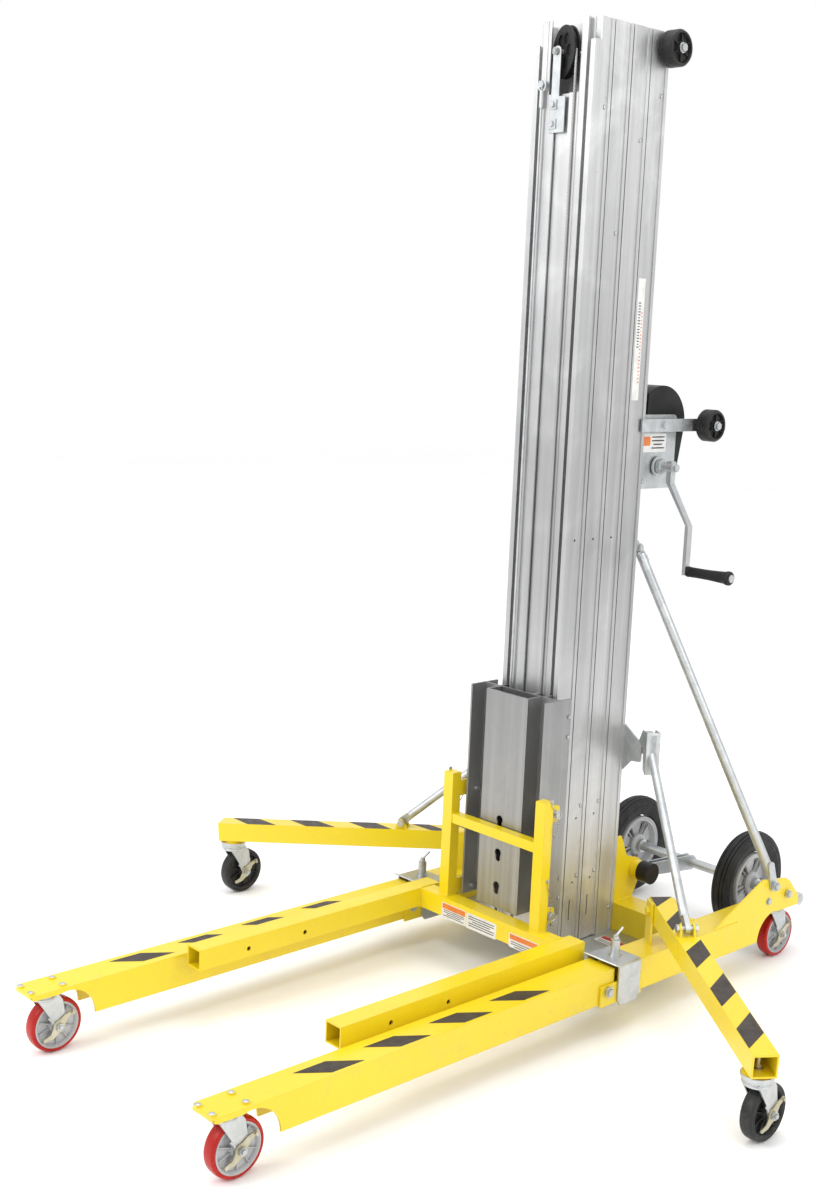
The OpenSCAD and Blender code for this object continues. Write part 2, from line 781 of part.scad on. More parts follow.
module carriage() {
    c = 127;
    f = s_y[3];
    color(alu) difference() {
        union() {
            // lug that holds the end of the rope
            box([rope_x - 4.5, 150, carriage_high - 24], [rope_x + 4.5, 176.4, carriage_high]);
            translate([0, 0, carriage_low]) linear_extrude(carriage_high - carriage_low) {
                for (s = [-1, 1]) translate([s > 0 ? c - 5 : -c, 100]) square([5, 92]);
                translate([-c + 1, 146]) square([c - 68, 5]);
                translate([67, 146]) square([c - 68, 5]);
                for (s = [-1, 1]) translate([s > 0 ? 65 : -70, 98]) square([5, 53]);
                translate([-70, 98]) square([140, 5]);
                translate([-70, 146]) square([140, 5]);
                for (s = [-1, 1]) translate([s * slot_x, 150]) {
                    translate([-3.5, 0]) square([7, f + wall - 148]);
                    translate([-9, f + wall - 148.5]) square([18, 5]);
                }
            }
        }
        // keyholes in the front
        for (z = [252, 338, 424]) plate_y(90, 110) translate([-4, z]) {
            circle(10.5);
            translate([1, -14]) circle(8);
            translate([-7, -14]) square([15, 14]);
        }
        for (s = [-1, 1], z = [212, 472]) bar_x(s * c - 10, s * c + 10, 130, z, 6.1);
    }
}

module fork_tube(s) {
    h = fork_s / 2;
    z = fork_top - h;
    color(yellow) difference() {
        box([s * fork_x - h, -fork_front, z - h], [s * fork_x + h, 120, z + h]);
        box([s * fork_x - h + 4, -fork_front - 5, z - h + 4], [s * fork_x + h - 4, 125, z + h - 4]);
        for (y = [-503, -333]) bar_x(s * fork_x - 40, s * fork_x + 40, y, z - 4, 5.5);
    }
}

module fork_frame() {
    z0 = fork_top - fork_s;
    e = fork_x - fork_s / 2 - 0.1;
    color(yellow) {
        difference() {
            box([-e, 50, z0], [e, 95, fork_top]);
            box([-e - 1, 54, z0 + 4], [e + 1, 91, fork_top - 4]);
        }
        for (s = [-1, 1]) {
            difference() {
                box([s * 158 - 16, 66, fork_top - 1], [s * 158 + 16, 95, 515]);
                box([s * 158 - 13, 69, fork_top - 5], [s * 158 + 13, 92, 512]);
            }
            for (z = [212, 472]) difference() {
                plate_x(s > 0 ? 142 : -148, s > 0 ? 148 : -142) round2d([80, z - 20], [148, z + 20], 8);
                bar_x(s * 145 - 10, s * 145 + 10, 130, z, 6.1);
            }
        }
        difference() {
            box([-142, 68, 385], [142, 94, 410]);
            box([-150, 71, 388], [150, 91, 407]);
        }
    }
}

module hitch_pins() {
    color(zinc) for (s = [-1, 1], z = [212, 472]) side(s) {
        bar_x(114, 160, 130, z, 6);
        bar_x(148.2, 152, 130, z, 11);
        bar_x(127.5, 141.8, 130, z, 9.5);
        translate([160, 130, z]) rotate([0, 90, 0]) rotate_extrude() translate([10, 0]) circle(1.5);
    }
}

// ---- rollers, winch and crank ---------------------------------------------------------------

module roller(s, x0, x1, y, z, r) {
    color(black) side(s) difference() {
        bar_x(x0, x1, y, z, r);
        bar_x(x0 - 1, x1 + 1, y, z, 6.06);
        difference() {
            bar_x(x1 - 9, x1 + 1, y, z, r - 7);
            bar_x(x1 - 10, x1 + 2, y, z, 13);
        }
    }
}

module roller_mounts() {
    for (s = [-1, 1]) side(s) {
        // shaft of the top rollers, which also carries the rear sheave
        bar_x(0, 146, rear_sheave_y, rear_sheave_z, 6);
        bar_x(hw, 98.5, rear_sheave_y, rear_sheave_z, 12);
        hex_x(141.5, 149, rear_sheave_y, rear_sheave_z, 10);
        // arms and pins of the middle rollers
        plate_x(94, 100) difference() {
            union() {
                translate([428, 1389]) square([244, 32]);
                translate([672, 1405]) circle(16);
            }
            translate([515, 1405]) circle(6);
        }
        bar_x(98, 151, 672, 1405, 6);
        bar_x(100, 105.5, 672, 1405, 12);
        hex_x(146.5, 154, 672, 1405, 10);
        bar_x(70.2, 103, 515, 1405, 6);
        hex_x(100, 107, 515, 1405, 10);
        bar_x(70.2, 94, 515, 1405, 12);
    }
}

module winch_frame() {
    color(zinc) {
        roller_mounts();
        for (s = [-1, 1]) plate_x(s > 0 ? 66 : -70, s > 0 ? 70 : -66) difference() {
            union() {
                round2d([mast_rear, 1243], [603, 1430], 12);
                translate([mast_rear, 1243]) square([20, 187]);
            }
            translate([shaft_y, shaft_z]) circle(8.1);
            translate([drum_y, drum_z]) circle(8.1);
        }
        plate_y(mast_rear, mast_rear + 4) translate([-66, 1243]) square([132, 187]);
        for (s = [-1, 1]) plate_x(s > 0 ? 70 : -72, s > 0 ? 72 : -70) difference() {
            round2d([457, 1332], [565, 1386], 3);
            translate([drum_y, drum_z]) circle(17);
        }
    }
}

module winch_cover() {
    color(black) difference() {
        plate_x(-64, 64) link2d([548, 1408], 95, [585, 1300], 38);
        plate_x(-60, 60) difference() {
            link2d([548, 1408], 91, [585, 1300], 34);
            square([mast_rear + 9, 3000]);
        }
        box([-70, 400, 1200], [70, 490, 1600]);
        box([-60, 480, 1200], [60, 556, 1380]);
        box([-9, 480, 1470], [9, 530, 1520]);
        bar_x(-70, 70, shaft_y, shaft_z, 12);
        bar_x(-70, 70, drum_y, drum_z, 12);
    }
}

module winch_drum() {
    color(grey) {
        bar_x(-72, 72, drum_y, drum_z, 8);
        bar_x(-50, 40, drum_y, drum_z, 28);
        bar_x(-54, -50, drum_y, drum_z, 52);
        bar_x(40, 44, drum_y, drum_z, 52);
        translate([48, drum_y, drum_z]) rotate([0, 90, 0]) difference() {
            cylinder(h = 8, r = gear_r);
            for (a = [0:7.5:352.5]) rotate([0, 0, a]) translate([gear_r, 0, -1]) cylinder(h = 10, r = 2.6);
        }
        bar_x(43, 49, drum_y, drum_z, 20);
    }
}

module crank() {
    c = crank_r;
    color(zinc) {
        bar_x(-74, 112, shaft_y, shaft_z, 8);
        bar_x(46, 58, shaft_y, shaft_z, pinion_r);
        bar_x(72.5, 96, shaft_y, shaft_z, 17);
        bar_x(96, hub_out, shaft_y, shaft_z, 13);
        hex_x(hub_out - 1, hub_out + 8, shaft_y, shaft_z, 10);
        plate_y(shaft_y - 9, shaft_y + 9) polygon([
            [112, shaft_z + 16], [126, shaft_z + 16], [126, shaft_z - 40], [191, shaft_z - 142],
            [191, shaft_z - c - 10], [181, shaft_z - c - 10], [181, shaft_z - 139], [112, shaft_z - 37]
        ]);
        bar_x(181, 326, shaft_y, shaft_z - c, 6);
        bar_x(324.5, 327, shaft_y, shaft_z - c, 10);
    }
}

module grip() {
    z = shaft_z - crank_r;
    color(black) difference() {
        union() {
            bar_x(193, 324, shaft_y, z, 16.5);
            bar_x(193, 198, shaft_y, z, 18);
            bar_x(306, 324, shaft_y, z, 17.5);
        }
        bar_x(190, 330, shaft_y, z, 6.06);
    }
}

// ---- nodes ---------------------------------------------------------------------------------

base_frame();
base_plate();
tube_caps();
saddle(1);  // saddle_right
saddle(-1);  // saddle_left
mast_braces();
rear_axle();
tyre(1);  // tyre_right
tyre(-1);  // tyre_left
hub(1);  // hub_right
hub(-1);  // hub_left
leg(1);  // leg_right
leg(-1);  // leg_left
plunger(1);  // plunger_right
plunger(-1);  // plunger_left
outrigger(1);  // outrigger_right
outrigger(-1);  // outrigger_left
brace(1);  // brace_right
brace(-1);  // brace_left
at_caster("fr") caster_fork();  // fork_fr
at_caster("fl") caster_fork();  // fork_fl
at_caster("rr") caster_fork();  // fork_rr
at_caster("rl") caster_fork();  // fork_rl
at_caster("or") caster_fork();  // fork_or
at_caster("ol") caster_fork();  // fork_ol
at_caster("fr") caster_wheel(red);  // wheel_fr
at_caster("fl") caster_wheel(red);  // wheel_fl
at_caster("rr") caster_wheel(red);  // wheel_rr
at_caster("rl") caster_wheel(red);  // wheel_rl
at_caster("or") caster_wheel(black);  // wheel_or
at_caster("ol") caster_wheel(black);  // wheel_ol
at_caster("fr") caster_brake();  // brake_fr
at_caster("fl") caster_brake();  // brake_fl
at_caster("rr") caster_brake();  // brake_rr
at_caster("rl") caster_brake();  // brake_rl
at_caster("or") caster_brake();  // brake_or
at_caster("ol") caster_brake();  // brake_ol
mast_1();
mast_2();
mast_3();
mast_4();
carriage();
fork_frame();
fork_tube(1);  // fork_right
fork_tube(-1);  // fork_left
hitch_pins();
top_sheave();
rope_anchor();
lift_rope();
rear_sheave();
winch_rope();
roller(1, 99, 141, rear_sheave_y, rear_sheave_z, roller_r);  // roller_top_right
roller(-1, 99, 141, rear_sheave_y, rear_sheave_z, roller_r);  // roller_top_left
roller(1, 106, 146, 672, 1405, roller_r - 2);  // roller_mid_right
roller(-1, 106, 146, 672, 1405, roller_r - 2);  // roller_mid_left
winch_frame();
winch_cover();
winch_drum();
crank();
grip();
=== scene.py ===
"""Looks for the telescoping-mast drywall lift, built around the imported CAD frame. Metres, Z up."""

import json
import math

import bmesh
import bpy
from mathutils import Matrix, Vector


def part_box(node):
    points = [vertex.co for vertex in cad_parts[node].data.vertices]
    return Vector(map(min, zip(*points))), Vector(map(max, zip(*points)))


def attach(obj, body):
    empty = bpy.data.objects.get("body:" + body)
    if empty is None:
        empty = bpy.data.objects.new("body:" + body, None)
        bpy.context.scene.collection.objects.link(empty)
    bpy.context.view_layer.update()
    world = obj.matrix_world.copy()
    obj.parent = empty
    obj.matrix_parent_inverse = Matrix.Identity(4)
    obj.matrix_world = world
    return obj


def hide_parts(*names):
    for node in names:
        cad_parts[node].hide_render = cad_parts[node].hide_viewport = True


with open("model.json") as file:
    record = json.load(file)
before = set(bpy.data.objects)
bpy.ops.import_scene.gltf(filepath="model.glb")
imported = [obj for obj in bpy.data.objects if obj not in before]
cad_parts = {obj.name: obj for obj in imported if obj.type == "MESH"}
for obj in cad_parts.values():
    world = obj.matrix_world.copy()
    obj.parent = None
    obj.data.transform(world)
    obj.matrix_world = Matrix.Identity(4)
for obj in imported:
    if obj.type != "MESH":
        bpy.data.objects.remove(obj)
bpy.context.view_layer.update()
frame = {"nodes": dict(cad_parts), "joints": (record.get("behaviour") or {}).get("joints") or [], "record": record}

NODES = frame["nodes"]
X, Y, Z = Vector((1, 0, 0)), Vector((0, 1, 0)), Vector((0, 0, 1))
SIDES = (("right", 1), ("left", -1))


# ---- materials ------------------------------------------------------------------------------


class Finish:
    """A procedural material around one Principled shader."""

    def __init__(self, name, metallic=0.0, roughness=0.5, **uniform):
        self.material = bpy.data.materials.new(name)
        self.material.use_nodes = True
        self.tree = self.material.node_tree
        self.shader = self.tree.nodes["Principled BSDF"]
        self.shader.inputs["Metallic"].default_value = metallic
        self.shader.inputs["Roughness"].default_value = roughness
        for key, value in uniform.items():
            self.shader.inputs[key.replace("_", " ")].default_value = value
        self.place = self.add("ShaderNodeTexCoord").outputs["Object"]
        self.normal = None

    def add(self, kind, **settings):
        node = self.tree.nodes.new(kind)
        for key, value in settings.items():
            setattr(node, key, value)
        return node

    def set(self, socket, value):
        if hasattr(value, "is_output"):
            self.tree.links.new(value, socket)
        else:
            socket.default_value = value

    def stretched(self, scale):
        node = self.add("ShaderNodeMapping")
        node.inputs["Scale"].default_value = scale
        self.set(node.inputs["Vector"], self.place)
        return node.outputs["Vector"]

    def noise(self, scale, detail=3.0, rough=0.5, stretch=None, distortion=0.0):
        node = self.add("ShaderNodeTexNoise")
        self.set(node.inputs["Vector"], self.stretched(stretch) if stretch else self.place)
        node.inputs["Scale"].default_value = scale
        node.inputs["Detail"].default_value = detail
        node.inputs["Roughness"].default_value = rough
        node.inputs["Distortion"].default_value = distortion
        return node.outputs["Fac"]

    def limits(self, value, low, high, to_low=0.0, to_high=1.0):
        node = self.add("ShaderNodeMapRange")
        for key, v in (("From Min", low), ("From Max", high), ("To Min", to_low), ("To Max", to_high)):
            node.inputs[key].default_value = v
        self.set(node.inputs["Value"], value)
        return node.outputs["Result"]

    def maths(self, operation, a, b=0.5):
        node = self.add("ShaderNodeMath", operation=operation, use_clamp=True)
        self.set(node.inputs[0], a)
        self.set(node.inputs[1], b)
        return node.outputs["Value"]

    def blend(self, factor, a, b):
        node = self.add("ShaderNodeMix", data_type="RGBA")
        self.set(node.inputs["Factor"], factor)
        self.set(node.inputs[6], (*a, 1) if isinstance(a, tuple) else a)
        self.set(node.inputs[7], (*b, 1) if isinstance(b, tuple) else b)
        return node.outputs[2]

    def height(self):
        """Object Z, in metres."""
        node = self.add("ShaderNodeSeparateXYZ")
        self.set(node.inputs[0], self.place)
        return node.outputs["Z"]

    def edges(self, radius):
        """0 on flat faces, near 1 on sharp edges."""
        bevel = self.add("ShaderNodeBevel", samples=4)
        bevel.inputs["Radius"].default_value = radius
        geometry = self.add("ShaderNodeNewGeometry")
        dot = self.add("ShaderNodeVectorMath", operation="DOT_PRODUCT")
        self.set(dot.inputs[0], bevel.outputs["Normal"])
        self.set(dot.inputs[1], geometry.outputs["Normal"])
        return self.limits(dot.outputs["Value"], 0.995, 0.86)

    def soften(self, radius):
        node = self.add("ShaderNodeBevel", samples=4)
        node.inputs["Radius"].default_value = radius
        self.normal = node.outputs["Normal"]

    def bump(self, value, distance, strength=1.0):
        node = self.add("ShaderNodeBump")
        node.inputs["Strength"].default_value = strength
        node.inputs["Distance"].default_value = distance
        self.set(node.inputs["Height"], value)
        if self.normal:
            self.set(node.inputs["Normal"], self.normal)
        self.normal = node.outputs["Normal"]

    def colour(self, value):
        self.set(self.shader.inputs["Base Color"], (*value, 1) if isinstance(value, tuple) else value)

    def rough(self, value):
        self.set(self.shader.inputs["Roughness"], value)

    def done(self):
        if self.normal:
            self.set(self.shader.inputs["Normal"], self.normal)
        return self.material


def painted_steel():
    f = Finish("yellow_powder_coat", roughness=0.36, Coat_Weight=0.25, Coat_Roughness=0.18)
    tone = f.limits(f.noise(2.3, 4), 0.32, 0.68)
    paint = f.blend(tone, (0.790, 0.600, 0.004), (0.730, 0.540, 0.003))
    fine = f.limits(f.noise(75, 5, 0.6), 0.35, 0.7)
    paint = f.blend(f.maths("MULTIPLY", fine, 0.16), paint, (0.84, 0.68, 0.03))
    dust = f.maths("MULTIPLY", f.limits(f.noise(22, 6, 0.65), 0.52, 0.8), f.limits(f.height(), 0.24, 0.06))
    paint = f.blend(f.maths("MULTIPLY", dust, 0.35), paint, (0.42, 0.34, 0.12))
    # On the yellow paint this mask is edge wear only.
    wear_and_dark_reflection = f.maths("MULTIPLY", f.edges(0.0018), f.limits(f.noise(46, 5, 0.7), 0.5, 0.64))
    f.colour(f.blend(f.maths("MULTIPLY", wear_and_dark_reflection, 0.55), paint, (0.50, 0.42, 0.16)))
    f.rough(f.limits(f.noise(9, 5), 0.3, 0.75, 0.27, 0.42))
    f.soften(0.0016)
    f.bump(f.noise(620, 2), 0.00018, 0.35)
    f.bump(f.noise(60, 2), 0.0003, 0.22)
    return f.done()


def mast_aluminium(name="mast_aluminium", tone=1.0, shift=0.0):
    f = Finish(name, metallic=0.78, roughness=0.42)
    streak = f.noise(1.0, 6, 0.62, stretch=(230 + shift, 230, 0.7))
    broad = f.noise(1.0, 4, 0.55, stretch=(17 + shift, 17, 1.3), distortion=0.6)
    cloud = f.noise(6.5, 6, 0.62, distortion=0.8)
    base = f.blend(f.limits(streak, 0.34, 0.68), (0.58 * tone,) * 3, (0.72 * tone, 0.725 * tone, 0.73 * tone))
    base = f.blend(f.limits(broad, 0.36, 0.66, 0.0, 0.5), base, (0.46 * tone, 0.465 * tone, 0.47 * tone))
    base = f.blend(f.limits(cloud, 0.5, 0.72, 0.0, 0.55), base, (0.82 * tone, 0.825 * tone, 0.83 * tone))
    # Painted reflection: darker patches in a band at mid height stand in for dark surroundings mirrored in the
    # mast's sides.
    dark_reflection_band = f.maths("MULTIPLY", f.limits(f.height(), 0.25, 1.0), f.limits(f.height(), 2.15, 1.35))
    dark_reflection_patches = f.limits(f.noise(1.0, 4, 0.6, stretch=(24, 24, 1.0)), 0.2, 0.7, 0.35, 0.85)
    wear_and_dark_reflection = f.maths("MULTIPLY", dark_reflection_band, dark_reflection_patches)
    base = f.blend(wear_and_dark_reflection, base, (0.34 * tone, 0.34 * tone, 0.345 * tone))
    specks = f.limits(f.noise(180, 3), 0.66, 0.74, 0.0, 0.5)
    f.colour(f.blend(specks, base, (0.33, 0.33, 0.34)))
    f.rough(f.maths("ADD", f.limits(streak, 0.3, 0.7, 0.30, 0.40), f.limits(cloud, 0.4, 0.7, 0.0, 0.14)))
    f.soften(0.0010)
    f.bump(streak, 0.00025, 0.5)
    f.bump(f.noise(1.0, 2, 0.5, stretch=(38, 38, 0.35)), 0.0006, 0.25)
    return f.done()


def zinc_plate(name="zinc_plate", a=(0.47, 0.49, 0.50), b=(0.60, 0.62, 0.63), c=(0.52, 0.52, 0.50)):
    f = Finish(name, metallic=1.0, roughness=0.3)
    patch = f.limits(f.noise(26, 5, 0.6, distortion=1.0), 0.34, 0.66)
    base = f.blend(patch, a, b)
    base = f.blend(f.limits(f.noise(9, 4), 0.5, 0.75, 0.0, 0.6), base, c)
    wear = f.maths("MULTIPLY", f.edges(0.0012), f.limits(f.noise(120, 4), 0.42, 0.6))
    f.colour(f.blend(f.maths("MULTIPLY", wear, 0.6), base, (0.40, 0.39, 0.37)))
    f.rough(f.limits(f.noise(60, 5, 0.7), 0.3, 0.7, 0.34, 0.54))
    f.soften(0.0010)
    f.bump(f.noise(240, 4, 0.6), 0.0002, 0.3)
    return f.done()


def rubber(name, dark, light, roughness, grain=900.0):
    f = Finish(name, roughness=roughness, Specular_IOR_Level=0.26)
    base = f.blend(f.limits(f.noise(30, 5, 0.6), 0.4, 0.7), dark, light)
    dusty = f.maths("MULTIPLY", f.limits(f.noise(85, 6, 0.7), 0.5, 0.72), f.limits(f.height(), 0.30, 0.0))
    f.colour(f.blend(f.maths("MULTIPLY", dusty, 0.35), base, tuple(min(1, v * 1.6 + 0.04) for v in light)))
    f.rough(f.limits(f.noise(40, 5), 0.3, 0.7, roughness - 0.09, roughness + 0.1))
    f.bump(f.noise(grain, 3), 0.00025, 0.35)
    return f.done()


def moulded(name, dark, light, roughness=0.42, grain=700.0, coat=0.0):
    f = Finish(name, roughness=roughness, Coat_Weight=coat, Coat_Roughness=0.2, Specular_IOR_Level=0.26)
    base = f.blend(f.limits(f.noise(14, 4), 0.35, 0.7), dark, light)
    scuff = f.limits(f.noise(1.0, 4, 0.6, stretch=(60, 220, 90)), 0.66, 0.78, 0.0, 0.35)
    f.colour(f.blend(scuff, base, tuple(min(1, v * 1.5 + 0.02) for v in light)))
    f.rough(f.limits(f.noise(50, 4), 0.3, 0.7, roughness - 0.08, roughness + 0.1))
    f.soften(0.0009)
    f.bump(f.noise(grain, 2), 0.0002, 0.4)
    return f.done()


def urethane():
    f = Finish("red_urethane", roughness=0.36, Specular_IOR_Level=0.28)
    base = f.blend(f.limits(f.noise(18, 4), 0.35, 0.7), (0.34, 0.006, 0.003), (0.43, 0.012, 0.006))
    marks = f.limits(f.noise(95, 6, 0.7), 0.56, 0.74, 0.0, 0.4)
    f.colour(f.blend(marks, base, (0.30, 0.05, 0.035)))
    f.rough(f.limits(f.noise(70, 5), 0.3, 0.7, 0.2, 0.4))
    f.bump(f.noise(260, 4), 0.0002, 0.3)
    return f.done()


def decal_film():
    f = Finish("decal_film", roughness=0.45, Specular_IOR_Level=0.26)
    base = f.blend(f.limits(f.noise(36, 5, 0.6), 0.35, 0.7), (0.036, 0.027, 0.023), (0.060, 0.048, 0.041))
    f.colour(f.blend(f.limits(f.noise(420, 3), 0.64, 0.72, 0.0, 0.6), base, (0.19, 0.16, 0.13)))
    f.rough(f.limits(f.noise(60, 4), 0.3, 0.7, 0.34, 0.5))
    f.bump(f.noise(500, 3), 0.00015, 0.4)
    return f.done()


def paper_film(name, dark, light):
    f = Finish(name, roughness=0.38, Coat_Weight=0.3)
    base = f.blend(f.limits(f.noise(40, 4), 0.35, 0.7), dark, light)
    scuffs = f.limits(f.noise(160, 5, 0.7), 0.62, 0.75, 0.0, 0.4)
    f.colour(f.blend(scuffs, base, tuple(v * 0.7 for v in dark)))
    f.bump(f.noise(300, 3), 0.0001, 0.3)
    return f.done()


def stranded_wire():
    f = Finish("stranded_wire", metallic=1.0, roughness=0.36)
    lay = f.add("ShaderNodeTexWave", wave_type="BANDS", bands_direction="DIAGONAL")
    f.set(lay.inputs["Vector"], f.stretched((1.0, 1.0, 0.6)))
    lay.inputs["Scale"].default_value = 130
    strand = lay.outputs["Fac"]
    # The dark bands in the colour are painted shade in the grooves between the strands.
    f.colour(f.blend(strand, (0.16, 0.16, 0.16), (0.62, 0.62, 0.61)))
    f.rough(f.limits(f.noise(90, 3), 0.3, 0.7, 0.28, 0.48))
    f.bump(strand, 0.0006, 0.8)
    return f.done()


YELLOW = painted_steel()
ALU = mast_aluminium()
ALU_PLATE = mast_aluminium("carriage_aluminium", 0.58, 35.0)
ZINC = zinc_plate()
ZINC_WARM = zinc_plate("yellow_zinc", (0.46, 0.43, 0.31), (0.58, 0.55, 0.44), (0.42, 0.37, 0.23))
STEEL = zinc_plate("turned_steel", (0.44, 0.44, 0.44), (0.58, 0.58, 0.58), (0.38, 0.37, 0.36))
RED = urethane()
CORE = moulded("caster_core", (0.36, 0.365, 0.37), (0.49, 0.495, 0.50), 0.36, 500)
HUB = moulded("hub_plastic", (0.36, 0.37, 0.38), (0.50, 0.51, 0.52), 0.36, 500)
BLACK = moulded("black_plastic", (0.006, 0.006, 0.006), (0.014, 0.014, 0.015), 0.40, 420)
GRIP = moulded("grip_plastic", (0.006, 0.006, 0.007), (0.016, 0.016, 0.018), 0.4, 900)
TYRE = rubber("tyre_rubber", (0.012, 0.012, 0.012), (0.026, 0.026, 0.026), 0.55)
DARK_RUBBER = rubber("dark_rubber", (0.014, 0.014, 0.014), (0.030, 0.029, 0.028), 0.42, 600)
DECAL = decal_film()
WHITE = paper_film("white_label", (0.62, 0.62, 0.60), (0.74, 0.74, 0.72))
RED_LABEL = paper_film("red_label", (0.42, 0.020, 0.014), (0.52, 0.035, 0.022))
ORANGE_LABEL = paper_film("orange_label", (0.62, 0.14, 0.010), (0.74, 0.20, 0.02))
WIRE = stranded_wire()

BY_SLOT = {
    "yellow_paint": YELLOW, "zinc_steel": ZINC, "brake_steel": ZINC_WARM, "mast_aluminium": ALU,
    "red_tread": RED, "black_tread": DARK_RUBBER, "tyre_rubber": TYRE, "hub_plastic": HUB,
    "black_plastic": BLACK, "roller_rubber": DARK_RUBBER, "grip_plastic": GRIP, "wire_rope": WIRE,
    "drum_steel": STEEL,
}
SLOT_OF = {s["node"]: s["material_slot"] for s in frame["record"]["subparts"]}
for node_name, node_object in NODES.items():
    node_object.data.materials.clear()
    node_object.data.materials.append(BY_SLOT[SLOT_OF[node_name]])
NODES["carriage"].data.materials[0] = ALU_PLATE


# ---- mesh helpers ---------------------------------------------------------------------------


def piece(name, mesh, material, body, smooth=0.6):
    """A finished mesh as a piece that rides on a body. smooth is the largest angle shaded round."""
    mesh.materials.append(material)
    if smooth:
        mesh.shade_smooth()
        mesh.set_sharp_from_angle(angle=smooth)
    o = bpy.data.objects.new(name, mesh)
    bpy.context.scene.collection.objects.link(o)
    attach(o, body)
    return o


def to_mesh(name, bm):
    mesh = bpy.data.meshes.new(name)
    bmesh.ops.recalc_face_normals(bm, faces=bm.faces)
    bm.to_mesh(mesh)
    bm.free()
    return mesh


def axes_to(direction, up=None):
    """A rotation that takes +Z to direction, and +X near up."""
    z = Vector(direction).normalized()
    x = Vector(up) if up else (X if abs(z.x) < 0.8 else Y)
    x = (x - z * x.dot(z)).normalized()
    return Matrix((x, z.cross(x), z)).transposed().to_4x4()


def lathed(bm, profile, centre, direction, steps=64, flute=None):
    """A closed profile of (radius, height) points turned about direction through centre.

    flute(angle, radius, height) may give another radius.
    """
    turn = Matrix.Translation(centre) @ axes_to(direction)
    rings = []
    for i in range(steps):
        a = 2 * math.pi * i / steps
        ring = []
        for r, h in profile:
            if flute:
                r = flute(a, r, h)
            ring.append(bm.verts.new(turn @ Vector((r * math.cos(a), r * math.sin(a), h))))
        rings.append(ring)
    count = len(profile)
    for i in range(steps):
        here, after = rings[i], rings[(i + 1) % steps]
        for j in range(count):
            k = (j + 1) % count
            bm.faces.new((here[j], here[k], after[k], after[j]))


def slab(bm, outline, thickness, place, bevel=0.0):
    """An outline of (x, y) points made into a plate from z = 0 to thickness, then put at place."""
    low = [bm.verts.new(place @ Vector((x, y, 0))) for x, y in outline]
    high = [bm.verts.new(place @ Vector((x, y, thickness))) for x, y in outline]
    faces = [bm.faces.new(low[::-1]), bm.faces.new(high)]
    for i in range(len(outline)):
        j = (i + 1) % len(outline)
        faces.append(bm.faces.new((low[i], low[j], high[j], high[i])))
    if bevel:
        edges = {e for f in faces for e in f.edges}
        bmesh.ops.bevel(bm, geom=list(edges), offset=bevel, segments=2, affect="EDGES", clamp_overlap=True)


def hexagon(radius):
    return [(radius * math.cos(math.pi * k / 3), radius * math.sin(math.pi * k / 3)) for k in range(6)]


def disc(radius, steps=24):
    return [
        (radius * math.cos(2 * math.pi * k / steps), radius * math.sin(2 * math.pi * k / steps))
        for k in range(steps)
    ]


def rounded(width, height, radius, steps=5):
    points = []
    for k, (sx, sy) in enumerate(((1, 1), (-1, 1), (-1, -1), (1, -1))):
        for i in range(steps + 1):
            a = math.pi / 2 * (k + i / steps)
            points.append((
                sx * (width / 2 - radius) + radius * math.cos(a),
                sy * (height / 2 - radius) + radius * math.sin(a),
            ))
    return points


def bolt(bm, at, direction, radius=0.010, height=0.007, washer=0.0):
    """A chamfered hexagon head with a dished washer, standing on a face at the point given."""
    place = Matrix.Translation(at) @ axes_to(direction)
    if washer:
        slab(bm, disc(washer), 0.0016, place, 0.0004)
        place = place @ Matrix.Translation((0, 0, 0.0016))
    slab(bm, hexagon(radius), height, place, min(radius, height) * 0.14)
    slab(bm, disc(radius * 0.62), 0.0006, place @ Matrix.Translation((0, 0, height - 0.0001)), 0.0002)


def wire(name, points, radius, material, body, cyclic=False, steps=6):
    """A round wire through the points, as a mesh."""
    curve = bpy.data.curves.new(name, "CURVE")
    curve.dimensions = "3D"
    curve.bevel_depth = radius
    curve.bevel_resolution = 3
    curve.resolution_u = steps
    spline = curve.splines.new("BEZIER")
    spline.bezier_points.add(len(points) - 1)
    for target, co in zip(spline.bezier_points, points):
        target.co = co
        target.handle_left_type = target.handle_right_type = "AUTO"
    spline.use_cyclic_u = cyclic
    curve.use_fill_caps = not cyclic
    shape = bpy.data.objects.new(name + "_curve", curve)
    bpy.context.scene.collection.objects.link(shape)
    bpy.context.view_layer.update()
    mesh = bpy.data.meshes.new_from_object(shape)
    bpy.data.objects.remove(shape)
    mesh.name = name
    mesh.materials.clear()
    return piece(name, mesh, material, body, 1.2)


def bead(bm, start, end, radius=0.0032, pitch=0.0045):
    """A weld bead: overlapping scales along a straight seam."""
    start, end = Vector(start), Vector(end)
    run = end - start
    count = max(3, int(run.length / pitch))
    turn = axes_to(run)
    steps = 8
    rings = []
    for i in range(count * 2 + 1):
        t = i / (count * 2)
        r = radius * (1.0 if i % 2 else 0.80)
        if i in (0, count * 2):
            r = radius * 0.25
        centre = start + run * t
        rings.append([
            bm.verts.new(centre + turn.to_3x3() @ Vector((r * math.cos(a), r * math.sin(a), 0)))
            for a in (2 * math.pi * k / steps for k in range(steps))
        ])
    for a, b in zip(rings, rings[1:]):
        for k in range(steps):
            j = (k + 1) % steps
            bm.faces.new((a[k], a[j], b[j], b[k]))
    bm.faces.new(rings[0][::-1])
    bm.faces.new(rings[-1])


def joint(name):
    """The record's joint of that name."""
    return next(j for j in frame["joints"] if j["name"] == name)


def middle(node):
    low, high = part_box(node)
    return (low + high) / 2


# ---- casters --------------------------------------------------------------------------------

CASTERS = {
    "fr": "front_right", "fl": "front_left", "rr": "rear_right", "rl": "rear_left",
    "or": "outrigger_right", "ol": "outrigger_left",
}
TREAD = 0.0095
CASTER_HALF = 0.016


